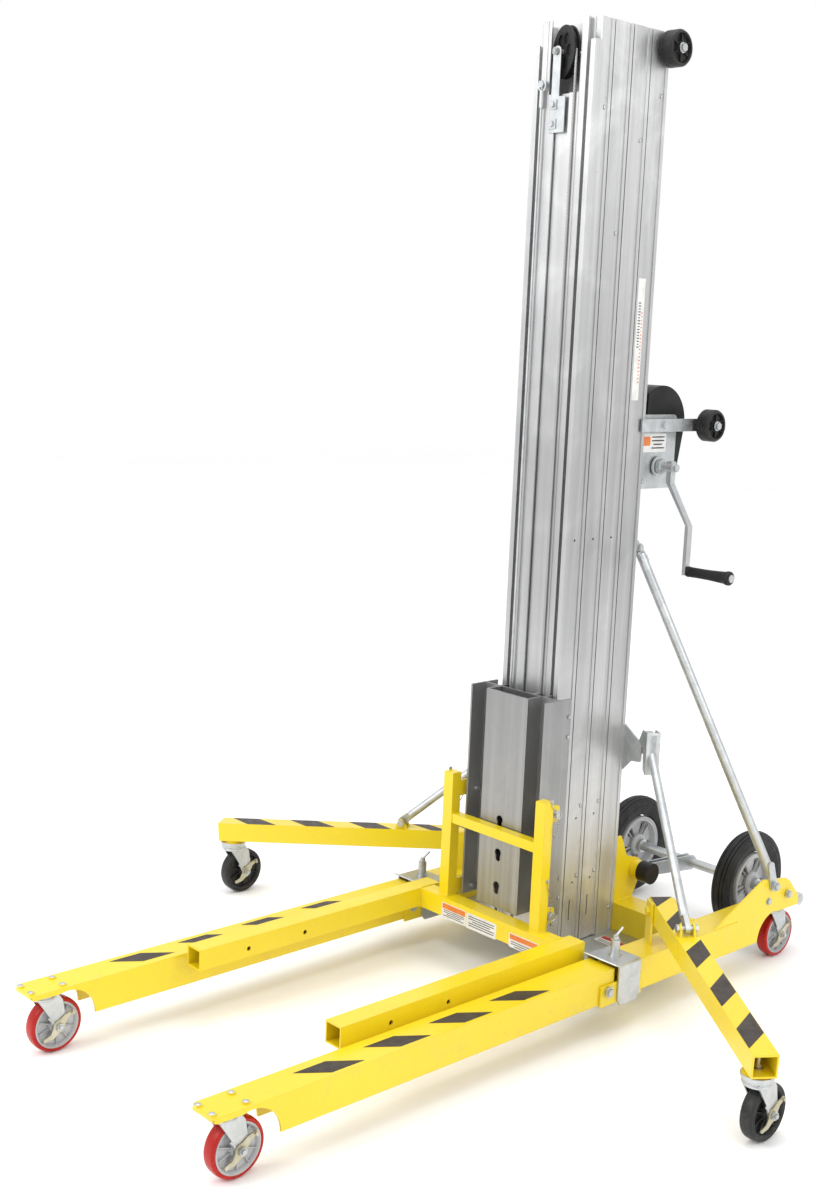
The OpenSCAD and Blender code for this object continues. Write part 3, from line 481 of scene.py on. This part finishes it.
def arc_profile(radius, half, crown, corner, steps=5):
    """The outer part of a wheel's section, from one side to the other."""
    points = []
    for side in (-1, 1):
        part = []
        for i in range(steps + 1):
            a = math.pi / 2 * i / steps
            out = radius - crown - corner + corner * math.sin(a)
            part.append((out, side * (half - corner + corner * math.cos(a))))
        points += part if side < 0 else [(radius, 0.0)] + part[::-1]
    return points


def caster_wheel(tag, where, red):
    low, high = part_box("wheel_" + tag)
    centre = (low + high) / 2
    radius = (high.z - low.z) / 2 - 0.0002
    half = CASTER_HALF
    body = "caster_wheel_" + where
    inner = radius - TREAD
    bm = bmesh.new()
    outer = arc_profile(radius, half, 0.0008, 0.006)
    lathed(bm, outer + [(inner, half - 0.0015), (inner, -half + 0.0015)], centre, X, 96)
    tread = piece(f"tread_{where}", to_mesh("tread", bm), RED if red else DARK_RUBBER, body,
                  0.7)
    bm = bmesh.new()
    rim = inner - 0.0001
    lathed(bm, [
        (rim, -half + 0.001), (rim, half - 0.001), (rim - 0.003, half), (rim - 0.006, half - 0.0025),
        (rim - 0.008, half - 0.009), (0.019, half - 0.0105), (0.0165, half - 0.004), (0.0145, half + 0.001),
        (0.0056, half + 0.001), (0.0056, -half - 0.001), (0.0145, -half - 0.001), (0.0165, -half + 0.004),
        (0.019, -half + 0.0105), (rim - 0.008, -half + 0.009), (rim - 0.006, -half + 0.0025),
        (rim - 0.003, -half),
    ], centre, X, 72)
    # ribs on both faces of the web
    reach = rim - 0.0215
    rib = [(0, -0.0014), (reach, -0.0011), (reach, 0.0011), (0, 0.0014)]
    for k in range(10):
        for side in (-1, 1):
            a = 2 * math.pi * k / 10
            spin = Matrix.Translation(centre) @ Matrix.Rotation(a, 4, "X")
            place = spin @ Matrix.Translation((side * (half - 0.0112), 0, 0.0155)) @ axes_to(X * side, Z)
            slab(bm, rib, 0.0078, place, 0.0004)
    core = piece(f"core_{where}", to_mesh("core", bm), CORE if red else DARK_RUBBER, body)
    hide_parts("wheel_" + tag)
    return core


def caster_trim(tag, where):
    """Ball race, stiffening lips and axle nuts on the swivel fork, and the brake lever's pad and boss."""
    low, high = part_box("fork_" + tag)
    pin = middle("fork_" + tag)
    wheel = middle("wheel_" + tag)
    pin.y = low.y + 0.033 if pin.y < wheel.y else high.y - 0.033
    top = high.z - 0.005
    body = "caster_" + where
    bm = bmesh.new()
    lathed(bm, [
        (0.012, -0.0175), (0.026, -0.0175), (0.0305, -0.0145), (0.0315, -0.0105), (0.0300, -0.0090),
        (0.0318, -0.0070), (0.0324, -0.0048), (0.0308, -0.0042), (0.012, -0.0042),
    ], Vector((pin.x, pin.y, top)), Z, 56)
    # curved stiffening lips down the fork legs
    cheek = 0.0226
    for side in (-1, 1):
        for edge in (-1, 1):
            start = Vector((pin.x + side * cheek, wheel.y - 0.006 + edge * 0.020, 0.088))
            end = Vector((pin.x + side * cheek, wheel.y + edge * 0.0115, wheel.z + 0.010))
            run = end - start
            place = Matrix.Translation(start) @ axes_to(run, X)
            slab(bm, rounded(0.0022, 0.004, 0.0009, 3), run.length, place)
    piece(f"race_{where}", to_mesh("race", bm), ZINC, body)
    bm = bmesh.new()
    bolt(bm, Vector((low.x + 0.0001, wheel.y, wheel.z)), -X, 0.0088, 0.0012)
    bolt(bm, Vector((high.x - 0.0001, wheel.y, wheel.z)), X, 0.0062, 0.0030)
    piece(f"axle_nut_{where}", to_mesh("axle_nut", bm), ZINC, body)
    # worn rubber pad and dimple on the brake lever
    low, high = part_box("brake_" + tag)
    bm = bmesh.new()
    place = Matrix.Translation(Vector((high.x - 0.0046, wheel.y + 0.0328, wheel.z + 0.0249)))
    place = place @ Matrix.Rotation(math.radians(42), 4, "X") @ Matrix.Rotation(math.radians(90), 4, "Y")
    slab(bm, rounded(0.007, 0.004, 0.0012), 0.0022, place, 0.0005)
    for k in range(3):
        ring = Matrix.Translation(Vector((low.x + 0.0030, wheel.y, wheel.z))) @ axes_to(X)
        slab(bm, disc(0.0105 - k * 0.0022, 32), 0.0018 + k * 0.0006, ring, 0.0004)
    piece(f"lever_boss_{where}", to_mesh("lever_boss", bm), ZINC_WARM, "caster_brake_" + where)


for tag, where in CASTERS.items():
    caster_wheel(tag, where, tag[0] != "o")
    caster_trim(tag, where)


# ---- transport wheels -----------------------------------------------------------------------


def transport_wheel(name):
    low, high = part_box("tyre_" + name)
    centre = (low + high) / 2
    radius = (high.z - low.z) / 2 - 0.0002
    half = (high.x - low.x) / 2
    body = "transport_wheel_" + name
    tread = []
    rib = (0.0, 0.0066, 0.0094, 0.0156, 0.0184)
    # two grooves on each side of a middle rib, then round shoulders and stepped walls
    for s in (-1, 1):
        part = [
            (radius - 0.0006, rib[1]), (radius - 0.0042, rib[1] + 0.0004), (radius - 0.0042, rib[2] - 0.0004),
            (radius - 0.0014, rib[2]), (radius - 0.0032, rib[3]), (radius - 0.0062, rib[3] + 0.0004),
            (radius - 0.0062, rib[4] - 0.0004), (radius - 0.0052, rib[4]), (radius - 0.0100, half - 0.0030),
            (radius - 0.0170, half - 0.0012), (radius - 0.0190, half - 0.0022), (radius - 0.0290, half),
            (radius - 0.0305, half - 0.0010), (radius - 0.0360, half - 0.0008),
            (radius - 0.0430, half - 0.0030),
            (radius - 0.0470, half - 0.0042), (radius - 0.0520, half - 0.0068),
        ]
        part = [(r, s * h) for r, h in part]
        tread += part[::-1] if s < 0 else [(radius, 0.0)] + part
    bm = bmesh.new()
    lathed(bm, tread, centre, X, 128)
    tyre = piece("tyre_mesh_" + name, to_mesh("tyre", bm), TYRE, body, 0.5)
    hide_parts("tyre_" + name)
    # rim flange, hub cap and five pairs of ribs on both faces of the moulded hub
    bm = bmesh.new()
    rim = 0.0836
    for s in (-1, 1):
        face = s * (half - 0.0030)
        lathed(bm, [
            (rim, face), (rim - 0.002, face + s * 0.0022), (rim - 0.006, face + s * 0.0010),
            (rim - 0.0085, face - s * 0.0030), (rim - 0.0060, face - s * 0.0080), (rim, face - s * 0.0080),
        ], centre, X, 96)
        lathed(bm, [
            (0.0145, s * (half - 0.010)), (0.0315, s * (half - 0.010)), (0.0290, s * (half - 0.004)),
            (0.0250, s * (half - 0.002)), (0.0145, s * (half - 0.002)),
        ], centre, X, 48)
        for k in range(5):
            a = 2 * math.pi * (k + 0.5) / 5
            spin = Matrix.Translation(centre) @ Matrix.Rotation(a, 4, "X")
            place = spin @ Matrix.Translation((s * 0.0048, 0, 0.028)) @ axes_to(X * s, Z)
            slab(bm, [(0, -0.0055), (0.046, -0.0115), (0.046, -0.0085), (0, -0.003)], 0.009, place, 0.0006)
            slab(bm, [(0, 0.003), (0.046, 0.0085), (0.046, 0.0115), (0, 0.0055)], 0.009, place, 0.0006)
    piece("rim_" + name, to_mesh("rim", bm), HUB, body)
    bm = bmesh.new()
    lathed(bm, [(0.0315, -0.0012), (0.0655, -0.0012), (0.0655, 0.0012), (0.0315, 0.0012)], centre, X, 72)
    piece("hub_liner_" + name, to_mesh("hub_liner", bm), DARK_RUBBER, body)


for name, side in SIDES:
    transport_wheel(name)


# ---- rollers, sheaves and grip --------------------------------------------------------------


def guide_roller(level, name, side):
    node = f"roller_{level}_{name}"
    low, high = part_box(node)
    centre = (low + high) / 2
    radius = (high.z - low.z) / 2
    half = (high.x - low.x) / 2
    bm = bmesh.new()
    out = X * side
    lathed(bm, [
        (0.0066, -half + 0.001), (radius - 0.010, -half), (radius - 0.003, -half + 0.0015),
        (radius, -half + 0.005),
        (radius, -0.008), (radius - 0.0012, -0.0070), (radius - 0.0012, -0.0050), (radius, -0.0040),
        (radius, half - 0.006), (radius - 0.0030, half - 0.0015), (radius - 0.0060, half),
        (radius - 0.0085, half - 0.001), (radius - 0.0105, half - 0.0085), (0.0165, half - 0.0090),
        (0.0145, half - 0.003), (0.0066, half - 0.003),
    ], centre, out, 80)
    reach = radius - 0.0265
    rib = [(0, -0.0018), (reach, -0.0014), (reach, 0.0014), (0, 0.0018)]
    for k in range(6):
        a = 2 * math.pi * k / 6
        spin = Matrix.Translation(centre) @ Matrix.Rotation(a, 4, "X")
        place = spin @ Matrix.Translation((side * (half - 0.0095), 0, 0.0150)) @ axes_to(out, Z)
        slab(bm, rib, 0.0065, place, 0.0004)
    roller = piece(f"roller_mesh_{level}_{name}", to_mesh("roller", bm), DARK_RUBBER, node)
    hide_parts(node)
    bm = bmesh.new()
    bolt(bm, centre + out * (half + 0.0005), out, 0.0085, 0.0055, 0.0125)
    piece(f"roller_nut_{level}_{name}", to_mesh("nut", bm), ZINC, "base")


for level in ("top", "mid"):
    for name, side in SIDES:
        guide_roller(level, name, side)


def crank_grip():
    low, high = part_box("grip")
    centre = (low + high) / 2
    length = high.x - low.x
    radius = (high.z - low.z) / 2
    profile = [(0.0064, 0.0), (0.0120, 0.0), (0.0134, 0.0012), (0.0136, 0.0050), (0.0128, 0.0075)]
    for k in range(13):
        t = k / 12
        profile.append((0.0129 + 0.0026 * t - 0.0012 * math.sin(math.pi * t), 0.010 + (length - 0.026) * t))
    profile += [
        (radius - 0.0008, length - 0.012), (radius - 0.0002, length - 0.009),
        (radius - 0.0005, length - 0.003), (radius - 0.0030, length), (0.0064, length),
    ]

    def flute(angle, r, h):
        """Fourteen shallow grooves along the hand's length."""
        deep = 0.0007 if 0.009 < h < length - 0.015 and r > 0.010 else 0.0
        return r - deep * (1 if math.cos(14 * angle) > 0.1 else 0)

    bm = bmesh.new()
    lathed(bm, profile, Vector((low.x, centre.y, centre.z)), X, 112, flute)
    grip = piece("grip_mesh", to_mesh("grip", bm), GRIP, "grip", 0.7)
    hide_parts("grip")


crank_grip()


# ---- decals and labels ----------------------------------------------------------------------

FILM = 0.0004


def film(name, outline, place, material, body, thickness=FILM):
    bm = bmesh.new()
    slab(bm, outline, thickness, place)
    return piece(name, to_mesh(name, bm), material, body, 0)


LEG_TOP = 0.158
FILM_GAP = 0.00005


def leg_decals(name, side):
    """Four slanted shapes along each leg, all leaning the same way."""
    right_x, left_x = (0.367, 0.322) if side > 0 else (-0.318, -0.362)
    first = -0.806 if side > 0 else -0.800
    pitch = 0.1845 if side > 0 else 0.187
    place = Matrix.Translation((0, 0, LEG_TOP + FILM_GAP))
    for k in range(4):
        y = first + pitch * k
        outline = [(left_x, y), (right_x, y + 0.064), (right_x, y + 0.150), (left_x, y + 0.084)]
        film(f"leg_decal_{name}_{k}", outline, place, DECAL, "leg_" + name)


for name, side in SIDES:
    leg_decals(name, side)


def outrigger_place(name):
    """The outrigger tube's own axes: X outward along it from the hinge bolt, Z up from its middle."""
    hinge_joint = joint(f"outrigger_{name}_fold")
    across = Vector(hinge_joint["axis"])
    out = Z.cross(across).normalized()
    hinge = Vector(hinge_joint["pos_m"])
    slope = math.radians(4.33)
    along = (out * math.cos(slope) - Z * math.sin(slope)).normalized()
    up = along.cross(-across).normalized()
    if up.z < 0:
        up = -up
    turn = Matrix((along, up.cross(along), up)).transposed().to_4x4()
    return Matrix.Translation(hinge) @ turn


TUBE_HALF_W, TUBE_HALF_H = 0.028, 0.026


def outrigger_decals(name):
    """A triangle at the inner end, then slanted shapes along the tube."""
    base = outrigger_place(name) @ Matrix.Translation((0, 0, TUBE_HALF_H + 0.00005))
    w = TUBE_HALF_W - 0.0015
    shapes = [
        [(-0.0205, -w), (0.034, -w), (-0.0205, w)],
        [(0.116, -w), (0.162, -w), (0.096, w), (0.048, w)],
        [(0.268, -w), (0.347, -w), (0.284, w), (0.210, w)],
        [(0.440, -w), (0.519, -w), (0.457, w), (0.372, w)],
        [(0.611, -w), (0.689, -w), (0.629, w), (0.545, w)],
    ]
    for k, outline in enumerate(shapes):
        film(f"outrigger_decal_{name}_{k}", outline, base, DECAL, "outrigger_" + name)


def outrigger_end(name):
    """Zinc seat ring round the caster's stem, and the stem's nut standing inside the open tube end."""
    pin = joint(f"caster_outrigger_{name}_swivel")["pos_m"]
    at = Vector((pin[0], pin[1], 0.0))
    bm = bmesh.new()
    lathed(bm, [(0.0331, 0.1482), (0.0352, 0.1486), (0.0358, 0.1500), (0.0358, 0.1545), (0.0350, 0.1560),
                (0.0331, 0.1562)], at, Z, 64)
    piece(f"seat_ring_{name}", to_mesh("seat_ring", bm), ZINC, "outrigger_" + name)
    bm = bmesh.new()
    slope = outrigger_place(name)
    foot = slope @ Vector((0.680, 0.0, -TUBE_HALF_H + 0.0041))
    up = (slope.to_3x3() @ Z).normalized()
    bolt(bm, foot, up, 0.0092, 0.0085, 0.0120)
    shank = [(0.0001, 0.006), (0.0058, 0.006), (0.0058, 0.0270), (0.0050, 0.0280), (0.0001, 0.0280)]
    lathed(bm, shank, foot, up, 24)
    piece(f"stem_nut_{name}", to_mesh("stem_nut", bm), ZINC_WARM, "outrigger_" + name)


for name, side in SIDES:
    outrigger_decals(name)
    outrigger_end(name)


def label(name, centre, normal, up, width, height, body, bands=(), material=WHITE):
    """A blank rectangular label with plain colour bands and rules, each a film of its own."""
    z = Vector(normal).normalized()
    y = Vector(up).normalized()
    place = Matrix.Translation(centre) @ Matrix((y.cross(z), y, z)).transposed().to_4x4()
    film(name, rounded(width, height, min(width, height) * 0.08, 3), place, material, body)
    for k, (x, v, w, h, paint) in enumerate(bands):
        at = place @ Matrix.Translation((x * width, v * height, FILM))
        corner = min(w * width, h * height) * 0.1
        film(f"{name}_{k}", rounded(w * width, h * height, corner, 2), at, paint, body,
             FILM * 0.6)


def rules(count, x, w, top, pitch, paint):
    return [(x, top - k * pitch, w * (1.0 if k % 3 < 2 else 0.7), pitch * 0.35, paint) for k in range(count)]


bar_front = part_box("fork_frame")[0].y - 0.00005
label("bar_label_left", (-0.1005, bar_front, 0.158), -Y, Z, 0.087, 0.040, "carriage",
      [(0, 0.28, 0.94, 0.34, ORANGE_LABEL), *rules(4, 0.0, 0.84, 0.02, 0.12, DECAL)])
label("bar_note_left", (-0.0025, bar_front, 0.157), -Y, Z, 0.104, 0.040, "carriage",
      rules(5, 0, 0.86, 0.32, 0.15, DECAL))
label("bar_label_right", (0.142, bar_front, 0.154), -Y, Z, 0.097, 0.036, "carriage",
      [(0, 0.26, 0.94, 0.36, ORANGE_LABEL), *rules(3, 0, 0.84, -0.08, 0.15, DECAL)])
label("bar_mark_right", (0.2075, bar_front, 0.154), -Y, Z, 0.027, 0.034, "carriage",
      [(0, 0, 0.78, 0.66, RED_LABEL), (0, 0, 0.52, 0.42, WHITE)])

mast_low, mast_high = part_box("mast_1")
label("mast_label", (mast_high.x + 0.00005, mast_low.y + 0.018, 1.614), X, Z, 0.026, 0.294, "base",
      [*rules(16, -0.12, 0.34, 0.30, 0.024, DECAL), *rules(20, 0.26, 0.20, 0.22, 0.030, ORANGE_LABEL)])
for name, side in SIDES:
    label(f"winch_label_{name}", (side * 0.07205, 0.511, 1.359), X * side, Z, 0.100, 0.046, "base",
          [(-0.28, 0.1, 0.3, 0.5, ORANGE_LABEL), *rules(4, 0.18, 0.5, 0.32, 0.2, DECAL)])
label("plate_label", (0.150, 0.372, 0.08605), Z, Y, 0.075, 0.040, "base",
      [(0, 0.26, 0.92, 0.4, RED_LABEL), *rules(2, 0, 0.8, -0.16, 0.2, DECAL)])


# ---- bolts and welds ------------------------------------------------------------------------


def base_bolts():
    bm = bmesh.new()
    for name, side in SIDES:
        pivot = joint(f"leg_{name}_fold")["pos_m"]
        bolt(bm, (side * 0.3895, pivot[1], pivot[2]), X * side, 0.0100, 0.0035, 0.0135)
        heads = (
            (0.3900, 0.744, 0.225, 0.010), (0.3770, 0.731, 0.184, 0.008), (0.3840, 0.814, 0.188, 0.009),
        )
        for x, y, z, r in heads:
            bolt(bm, (side * x, y, z), X * side, r, 0.0045, r * 1.25)
    piece("base_bolts", to_mesh("base_bolts", bm), ZINC, "base")
    for name, side in SIDES:
        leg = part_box("leg_" + name)
        x = (leg[0].x + leg[1].x) / 2
        bm = bmesh.new()
        for dx in (-0.023, 0.023):
            for dy in (-0.039, 0.039):
                at = Vector((x + dx, leg[0].y + 0.046 + dy, leg[1].z - 0.0002))
                lathed(bm, [(0.0001, -0.0005), (0.0068, -0.0005), (0.0065, 0.0008), (0.0052, 0.0019),
                            (0.0028, 0.0026), (0.0001, 0.0029)], at, Z, 28)
        piece(f"tip_rivets_{name}", to_mesh("tip_rivets", bm), ZINC, "leg_" + name)


base_bolts()


# one end and the other along the tongue, width, thickness
TONGUE = ((0.0, 0.030, 0.0265, 0.0060), (0.026, 0.046, 0.0255, 0.0120), (0.040, 0.058, 0.0252, 0.0190))


def brace_tongues():
    """The flattened upper ends of the long braces, on their pins behind the mast."""
    bm = bmesh.new()
    for s in (-1, 1):
        pin = Vector((s * 0.0700, 0.470, 1.095))
        low = Vector((s * 0.387, 0.744, 0.225))
        run = (low - Vector((s * 0.078, 0.470, 1.095))).normalized()
        turn = axes_to(run, X)
        place = Matrix.Translation(Vector((s * 0.0725, 0.470, 1.095)) - run * 0.014) @ turn
        for k, (start, end, wide, thick) in enumerate(TONGUE):
            at = place @ Matrix.Translation((s * (0.0015 + 0.0028 * k), 0, start))
            slab(bm, rounded(thick, wide, min(thick, wide) * 0.32, 4), end - start, at, 0.0015)
        bolt(bm, pin + X * s * 0.0130, X * s, 0.0095, 0.0060, 0.0120)
    piece("brace_tongues", to_mesh("brace_tongues", bm), ZINC, "base")


def hook_channels():
    """The folded channel at the top of each short brace, which drops over a pin behind the mast."""
    for name, side in SIDES:
        hinge_joint = joint(f"outrigger_{name}_fold")
        out = Z.cross(Vector(hinge_joint["axis"])).normalized()
        if out.x * side < 0:
            out = -out
        hinge = Vector(hinge_joint["pos_m"])
        place = Matrix.Translation(hinge) @ Matrix((out, Z, out.cross(Z))).transposed().to_4x4()
        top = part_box("brace_" + name)[1].z - hinge.z
        high, low = top + 0.006, top - 0.104
        bm = bmesh.new()
        cheek = [
            (-0.1655, high), (-0.205, top + 0.004), (-0.232, top - 0.030), (-0.206, top - 0.036),
            (-0.200, top - 0.050), (-0.192, top - 0.036), (-0.186, top - 0.096), (-0.1655, low),
        ]
        for s in (-1, 1):
            slab(bm, cheek, 0.0028, place @ Matrix.Translation((0, 0, s * 0.0165 - 0.0014)), 0.0006)
        spine = [(-0.1680, high), (-0.1650, high), (-0.1650, low), (-0.1680, low)]
        slab(bm, spine, 0.0358, place @ Matrix.Translation((0, 0, -0.0179)), 0.0009)
        piece(f"hook_channel_{name}", to_mesh("hook_channel", bm), ZINC, "brace_" + name)


brace_tongues()
hook_channels()


def welds():
    bm = bmesh.new()
    beam_x = 0.297
    for s in (-1, 1):
        x = s * beam_x
        bead(bm, (x, 0.448, 0.158), (x, 0.523, 0.158))
        bead(bm, (x, 0.446, 0.090), (x, 0.446, 0.154))
        bead(bm, (x, 0.525, 0.090), (x, 0.525, 0.154))
        for side in (-1, 1):
            gx = s * 0.087 + side * 0.003
            bead(bm, (gx, 0.449, 0.158), (gx, 0.524, 0.158))
        for k in range(24):
            a, b = 2 * math.pi * k / 24, 2 * math.pi * (k + 1) / 24
            for side in (-1, 1):
                gx = s * 0.087 + side * 0.0032
                bead(bm, (gx, 0.531 + 0.0255 * math.cos(a), 0.234 + 0.0255 * math.sin(a)),
                     (gx, 0.531 + 0.0255 * math.cos(b), 0.234 + 0.0255 * math.sin(b)), 0.0026)
        # side plates on the rails
        bead(bm, (s * 0.3775, 0.505, 0.158), (s * 0.3775, 0.60, 0.158), 0.0018)
    piece("base_welds", to_mesh("base_welds", bm), YELLOW, "base", 1.0)
    bm = bmesh.new()
    for s in (-1, 1):
        for z in (0.385, 0.410):
            bead(bm, (s * 0.142, 0.0685, z), (s * 0.142, 0.0935, z), 0.0024)
        bead(bm, (s * 0.142, 0.0675, 0.386), (s * 0.142, 0.0675, 0.409), 0.0022)
        for x in (s * 0.142, s * 0.174):
            bead(bm, (x, 0.067, 0.1905), (x, 0.094, 0.1905), 0.0024)
        bead(bm, (s * 0.143, 0.0655, 0.1905), (s * 0.173, 0.0655, 0.1905), 0.0024)
        bead(bm, (s * 0.2262, 0.0505, 0.1905), (s * 0.2262, 0.0945, 0.1905), 0.0024)
        bead(bm, (s * 0.2262, 0.0495, 0.1415), (s * 0.2262, 0.0495, 0.1885), 0.0024)
    piece("fork_welds", to_mesh("fork_welds", bm), YELLOW, "carriage", 1.0)


welds()


def mast_fixings():
    """Small screws and guide-pad rivets in the mast's sides."""
    levels = {
        "mast_2": (0.265, 0.45, 2.08), "mast_3": (0.265, 0.45, 1.86),
        "mast_4": (0.30, 2.14), "mast_1": (0.15, 2.19),
    }
    head = [(0.0001, 0), (0.0052, 0), (0.0050, 0.0012), (0.0036, 0.0024), (0.0001, 0.0028)]
    for node, heights in levels.items():
        low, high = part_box(node)
        bm = bmesh.new()
        for s, x in ((1, high.x), (-1, low.x)):
            for z in heights:
                at = Vector((x - s * 0.0002, low.y + 0.045, z))
                lathed(bm, head, at, X * s, 20)
        body = "base" if node == "mast_1" else node
        piece(f"{node}_screws", to_mesh("screws", bm), STEEL, body)


mast_fixings()


def slide_blocks():
    """Plastic blocks that guide the carriage along the front mast section."""
    low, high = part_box("carriage")
    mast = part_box("mast_4")
    bm = bmesh.new()
    for s in (-1, 1):
        inner, outer = mast[1].x + 0.0006, high.x - 0.0052
        for z in (low.z + 0.02, high.z - 0.12):
            place = Matrix.Translation((s * (inner + outer) / 2, mast[0].y + 0.0135 - 0.003, z))
            slab(bm, rounded(outer - inner, 0.024, 0.002, 3), 0.10, place, 0.0008)
    piece("slide_blocks", to_mesh("slide_blocks", bm), BLACK, "carriage")
    bm = bmesh.new()
    for s in (-1, 1):
        for z in (low.z + 0.045, low.z + 0.095, high.z - 0.095, high.z - 0.045):
            bolt(bm, (s * (high.x - 0.0001), mast[0].y + 0.008, z), X * s, 0.0055, 0.0035)
    piece("slide_block_screws", to_mesh("slide_block_screws", bm), STEEL, "carriage")


slide_blocks()


# ---- small wires ----------------------------------------------------------------------------


def lanyards():
    for name, side in SIDES:
        for level, z in (("low", 0.212), ("high", 0.472)):
            start = Vector((side * 0.1605, 0.130, z - 0.0095))
            end = Vector((side * 0.1748, 0.088, z + (0.045 if level == "high" else 0.105)))
            points = [
                start,
                start + Vector((side * 0.004, -0.004, -0.022)),
                start + Vector((side * 0.010, -0.018, -0.040)),
                start + Vector((side * 0.016, -0.034, -0.030)),
                (start + end) / 2 + Vector((side * 0.008, -0.006, 0.0)),
                end + Vector((side * 0.002, 0.0, -0.012)), end,
            ]
            wire(f"lanyard_{name}_{level}", points, 0.0010, WIRE, "carriage")
            bm = bmesh.new()
            bolt(bm, end - Vector((side * 0.0012, 0, 0)), X * side, 0.0040, 0.0030, 0.0055)
            piece(f"lanyard_screw_{name}_{level}", to_mesh("screw", bm), STEEL, "carriage")


lanyards()


def winch_details():
    """Screws of the cover, and the flange, nut and end cap on the crank's shaft."""
    bm = bmesh.new()
    for s in (-1, 1):
        for y, z in ((0.475, 1.262), (0.585, 1.262), (0.475, 1.412), (0.590, 1.395)):
            bolt(bm, (s * 0.0700, y, z), X * s, 0.0062, 0.0042, 0.0085)
    piece("winch_screws", to_mesh("winch_screws", bm), ZINC, "base")
    centre = Vector(joint("crank_turn")["pos_m"])
    centre.x = 0.0
    bm = bmesh.new()
    lathed(bm, [
        (0.0081, 0.0735), (0.0235, 0.0735), (0.0245, 0.0745), (0.0245, 0.0795), (0.0235, 0.0805),
        (0.0172, 0.0812), (0.0081, 0.0812),
    ], centre, X, 64)
    lathed(bm, [
        (0.0171, 0.0830), (0.0195, 0.0835), (0.0200, 0.0850), (0.0200, 0.0935), (0.0195, 0.0950),
        (0.0171, 0.0955),
    ], centre, X, 12)
    bolt(bm, centre + X * 0.1375, X, 0.0098, 0.0010)
    piece("crank_collar", to_mesh("crank_collar", bm), ZINC, "crank")


winch_details()


# ---- floor, light and camera ----------------------------------------------------------------


def studio():
    bm = bmesh.new()
    half = 14.0
    square = [(-half, -half), (half, -half), (half, half), (-half, half)]
    slab(bm, square, 0.02, Matrix.Translation((0, 0, -0.0202)))
    mesh = to_mesh("floor", bm)
    f = Finish("pale_floor", roughness=0.7)
    f.colour(f.blend(f.limits(f.noise(1.2, 3), 0.3, 0.7), (0.985, 0.985, 0.985), (1.0, 1.0, 1.0)))
    mesh.materials.append(f.done())
    floor = bpy.data.objects.new("floor", mesh)
    bpy.context.scene.collection.objects.link(floor)
    world = bpy.data.worlds.new("studio")
    bpy.context.scene.world = world
    world.use_nodes = True
    world.node_tree.nodes["Background"].inputs["Color"].default_value = (1, 1, 1, 1)
    world.node_tree.nodes["Background"].inputs["Strength"].default_value = 1.0

    def softbox(name, at, aim, size, power):
        light = bpy.data.lights.new(name, "AREA")
        light.shape = "RECTANGLE"
        light.size, light.size_y = size
        light.energy = power
        o = bpy.data.objects.new(name, light)
        bpy.context.scene.collection.objects.link(o)
        o.location = at
        o.rotation_euler = (Vector(aim) - Vector(at)).to_track_quat("-Z", "Y").to_euler()

    softbox("key", (-1.5, -4.6, 3.6), (0, 0, 0.9), (2.6, 2.6), 110)
    softbox("top", (0.3, -0.2, 5.6), (0, 0, 0), (3.4, 3.4), 90)
    softbox("side", (4.8, 0.8, 2.6), (0, 0.2, 1.0), (1.4, 3.2), 60)


studio()


def camera():
    azimuth, pitch, roll = (math.radians(v) for v in (47.03, 9.69, 2.37))
    level = math.cos(pitch)
    back = Vector((math.sin(azimuth) * level, -math.cos(azimuth) * level, math.sin(pitch)))
    right = Z.cross(back).normalized()
    up = back.cross(right)
    turned = right * math.cos(roll) + up * math.sin(roll)
    top = up * math.cos(roll) - right * math.sin(roll)
    data = bpy.data.cameras.new("camera")
    data.sensor_width = 36.0
    data.lens = 46.4
    data.clip_end = 60
    o = bpy.data.objects.new("camera", data)
    bpy.context.scene.collection.objects.link(o)
    turn = Matrix((turned, top, back)).transposed().to_4x4()
    o.matrix_world = Matrix.Translation((2.536, -2.610, 1.601)) @ turn
    bpy.context.scene.camera = o
    bpy.context.scene.view_settings.view_transform = "Standard"


camera()

bpy.context.view_layer.update()
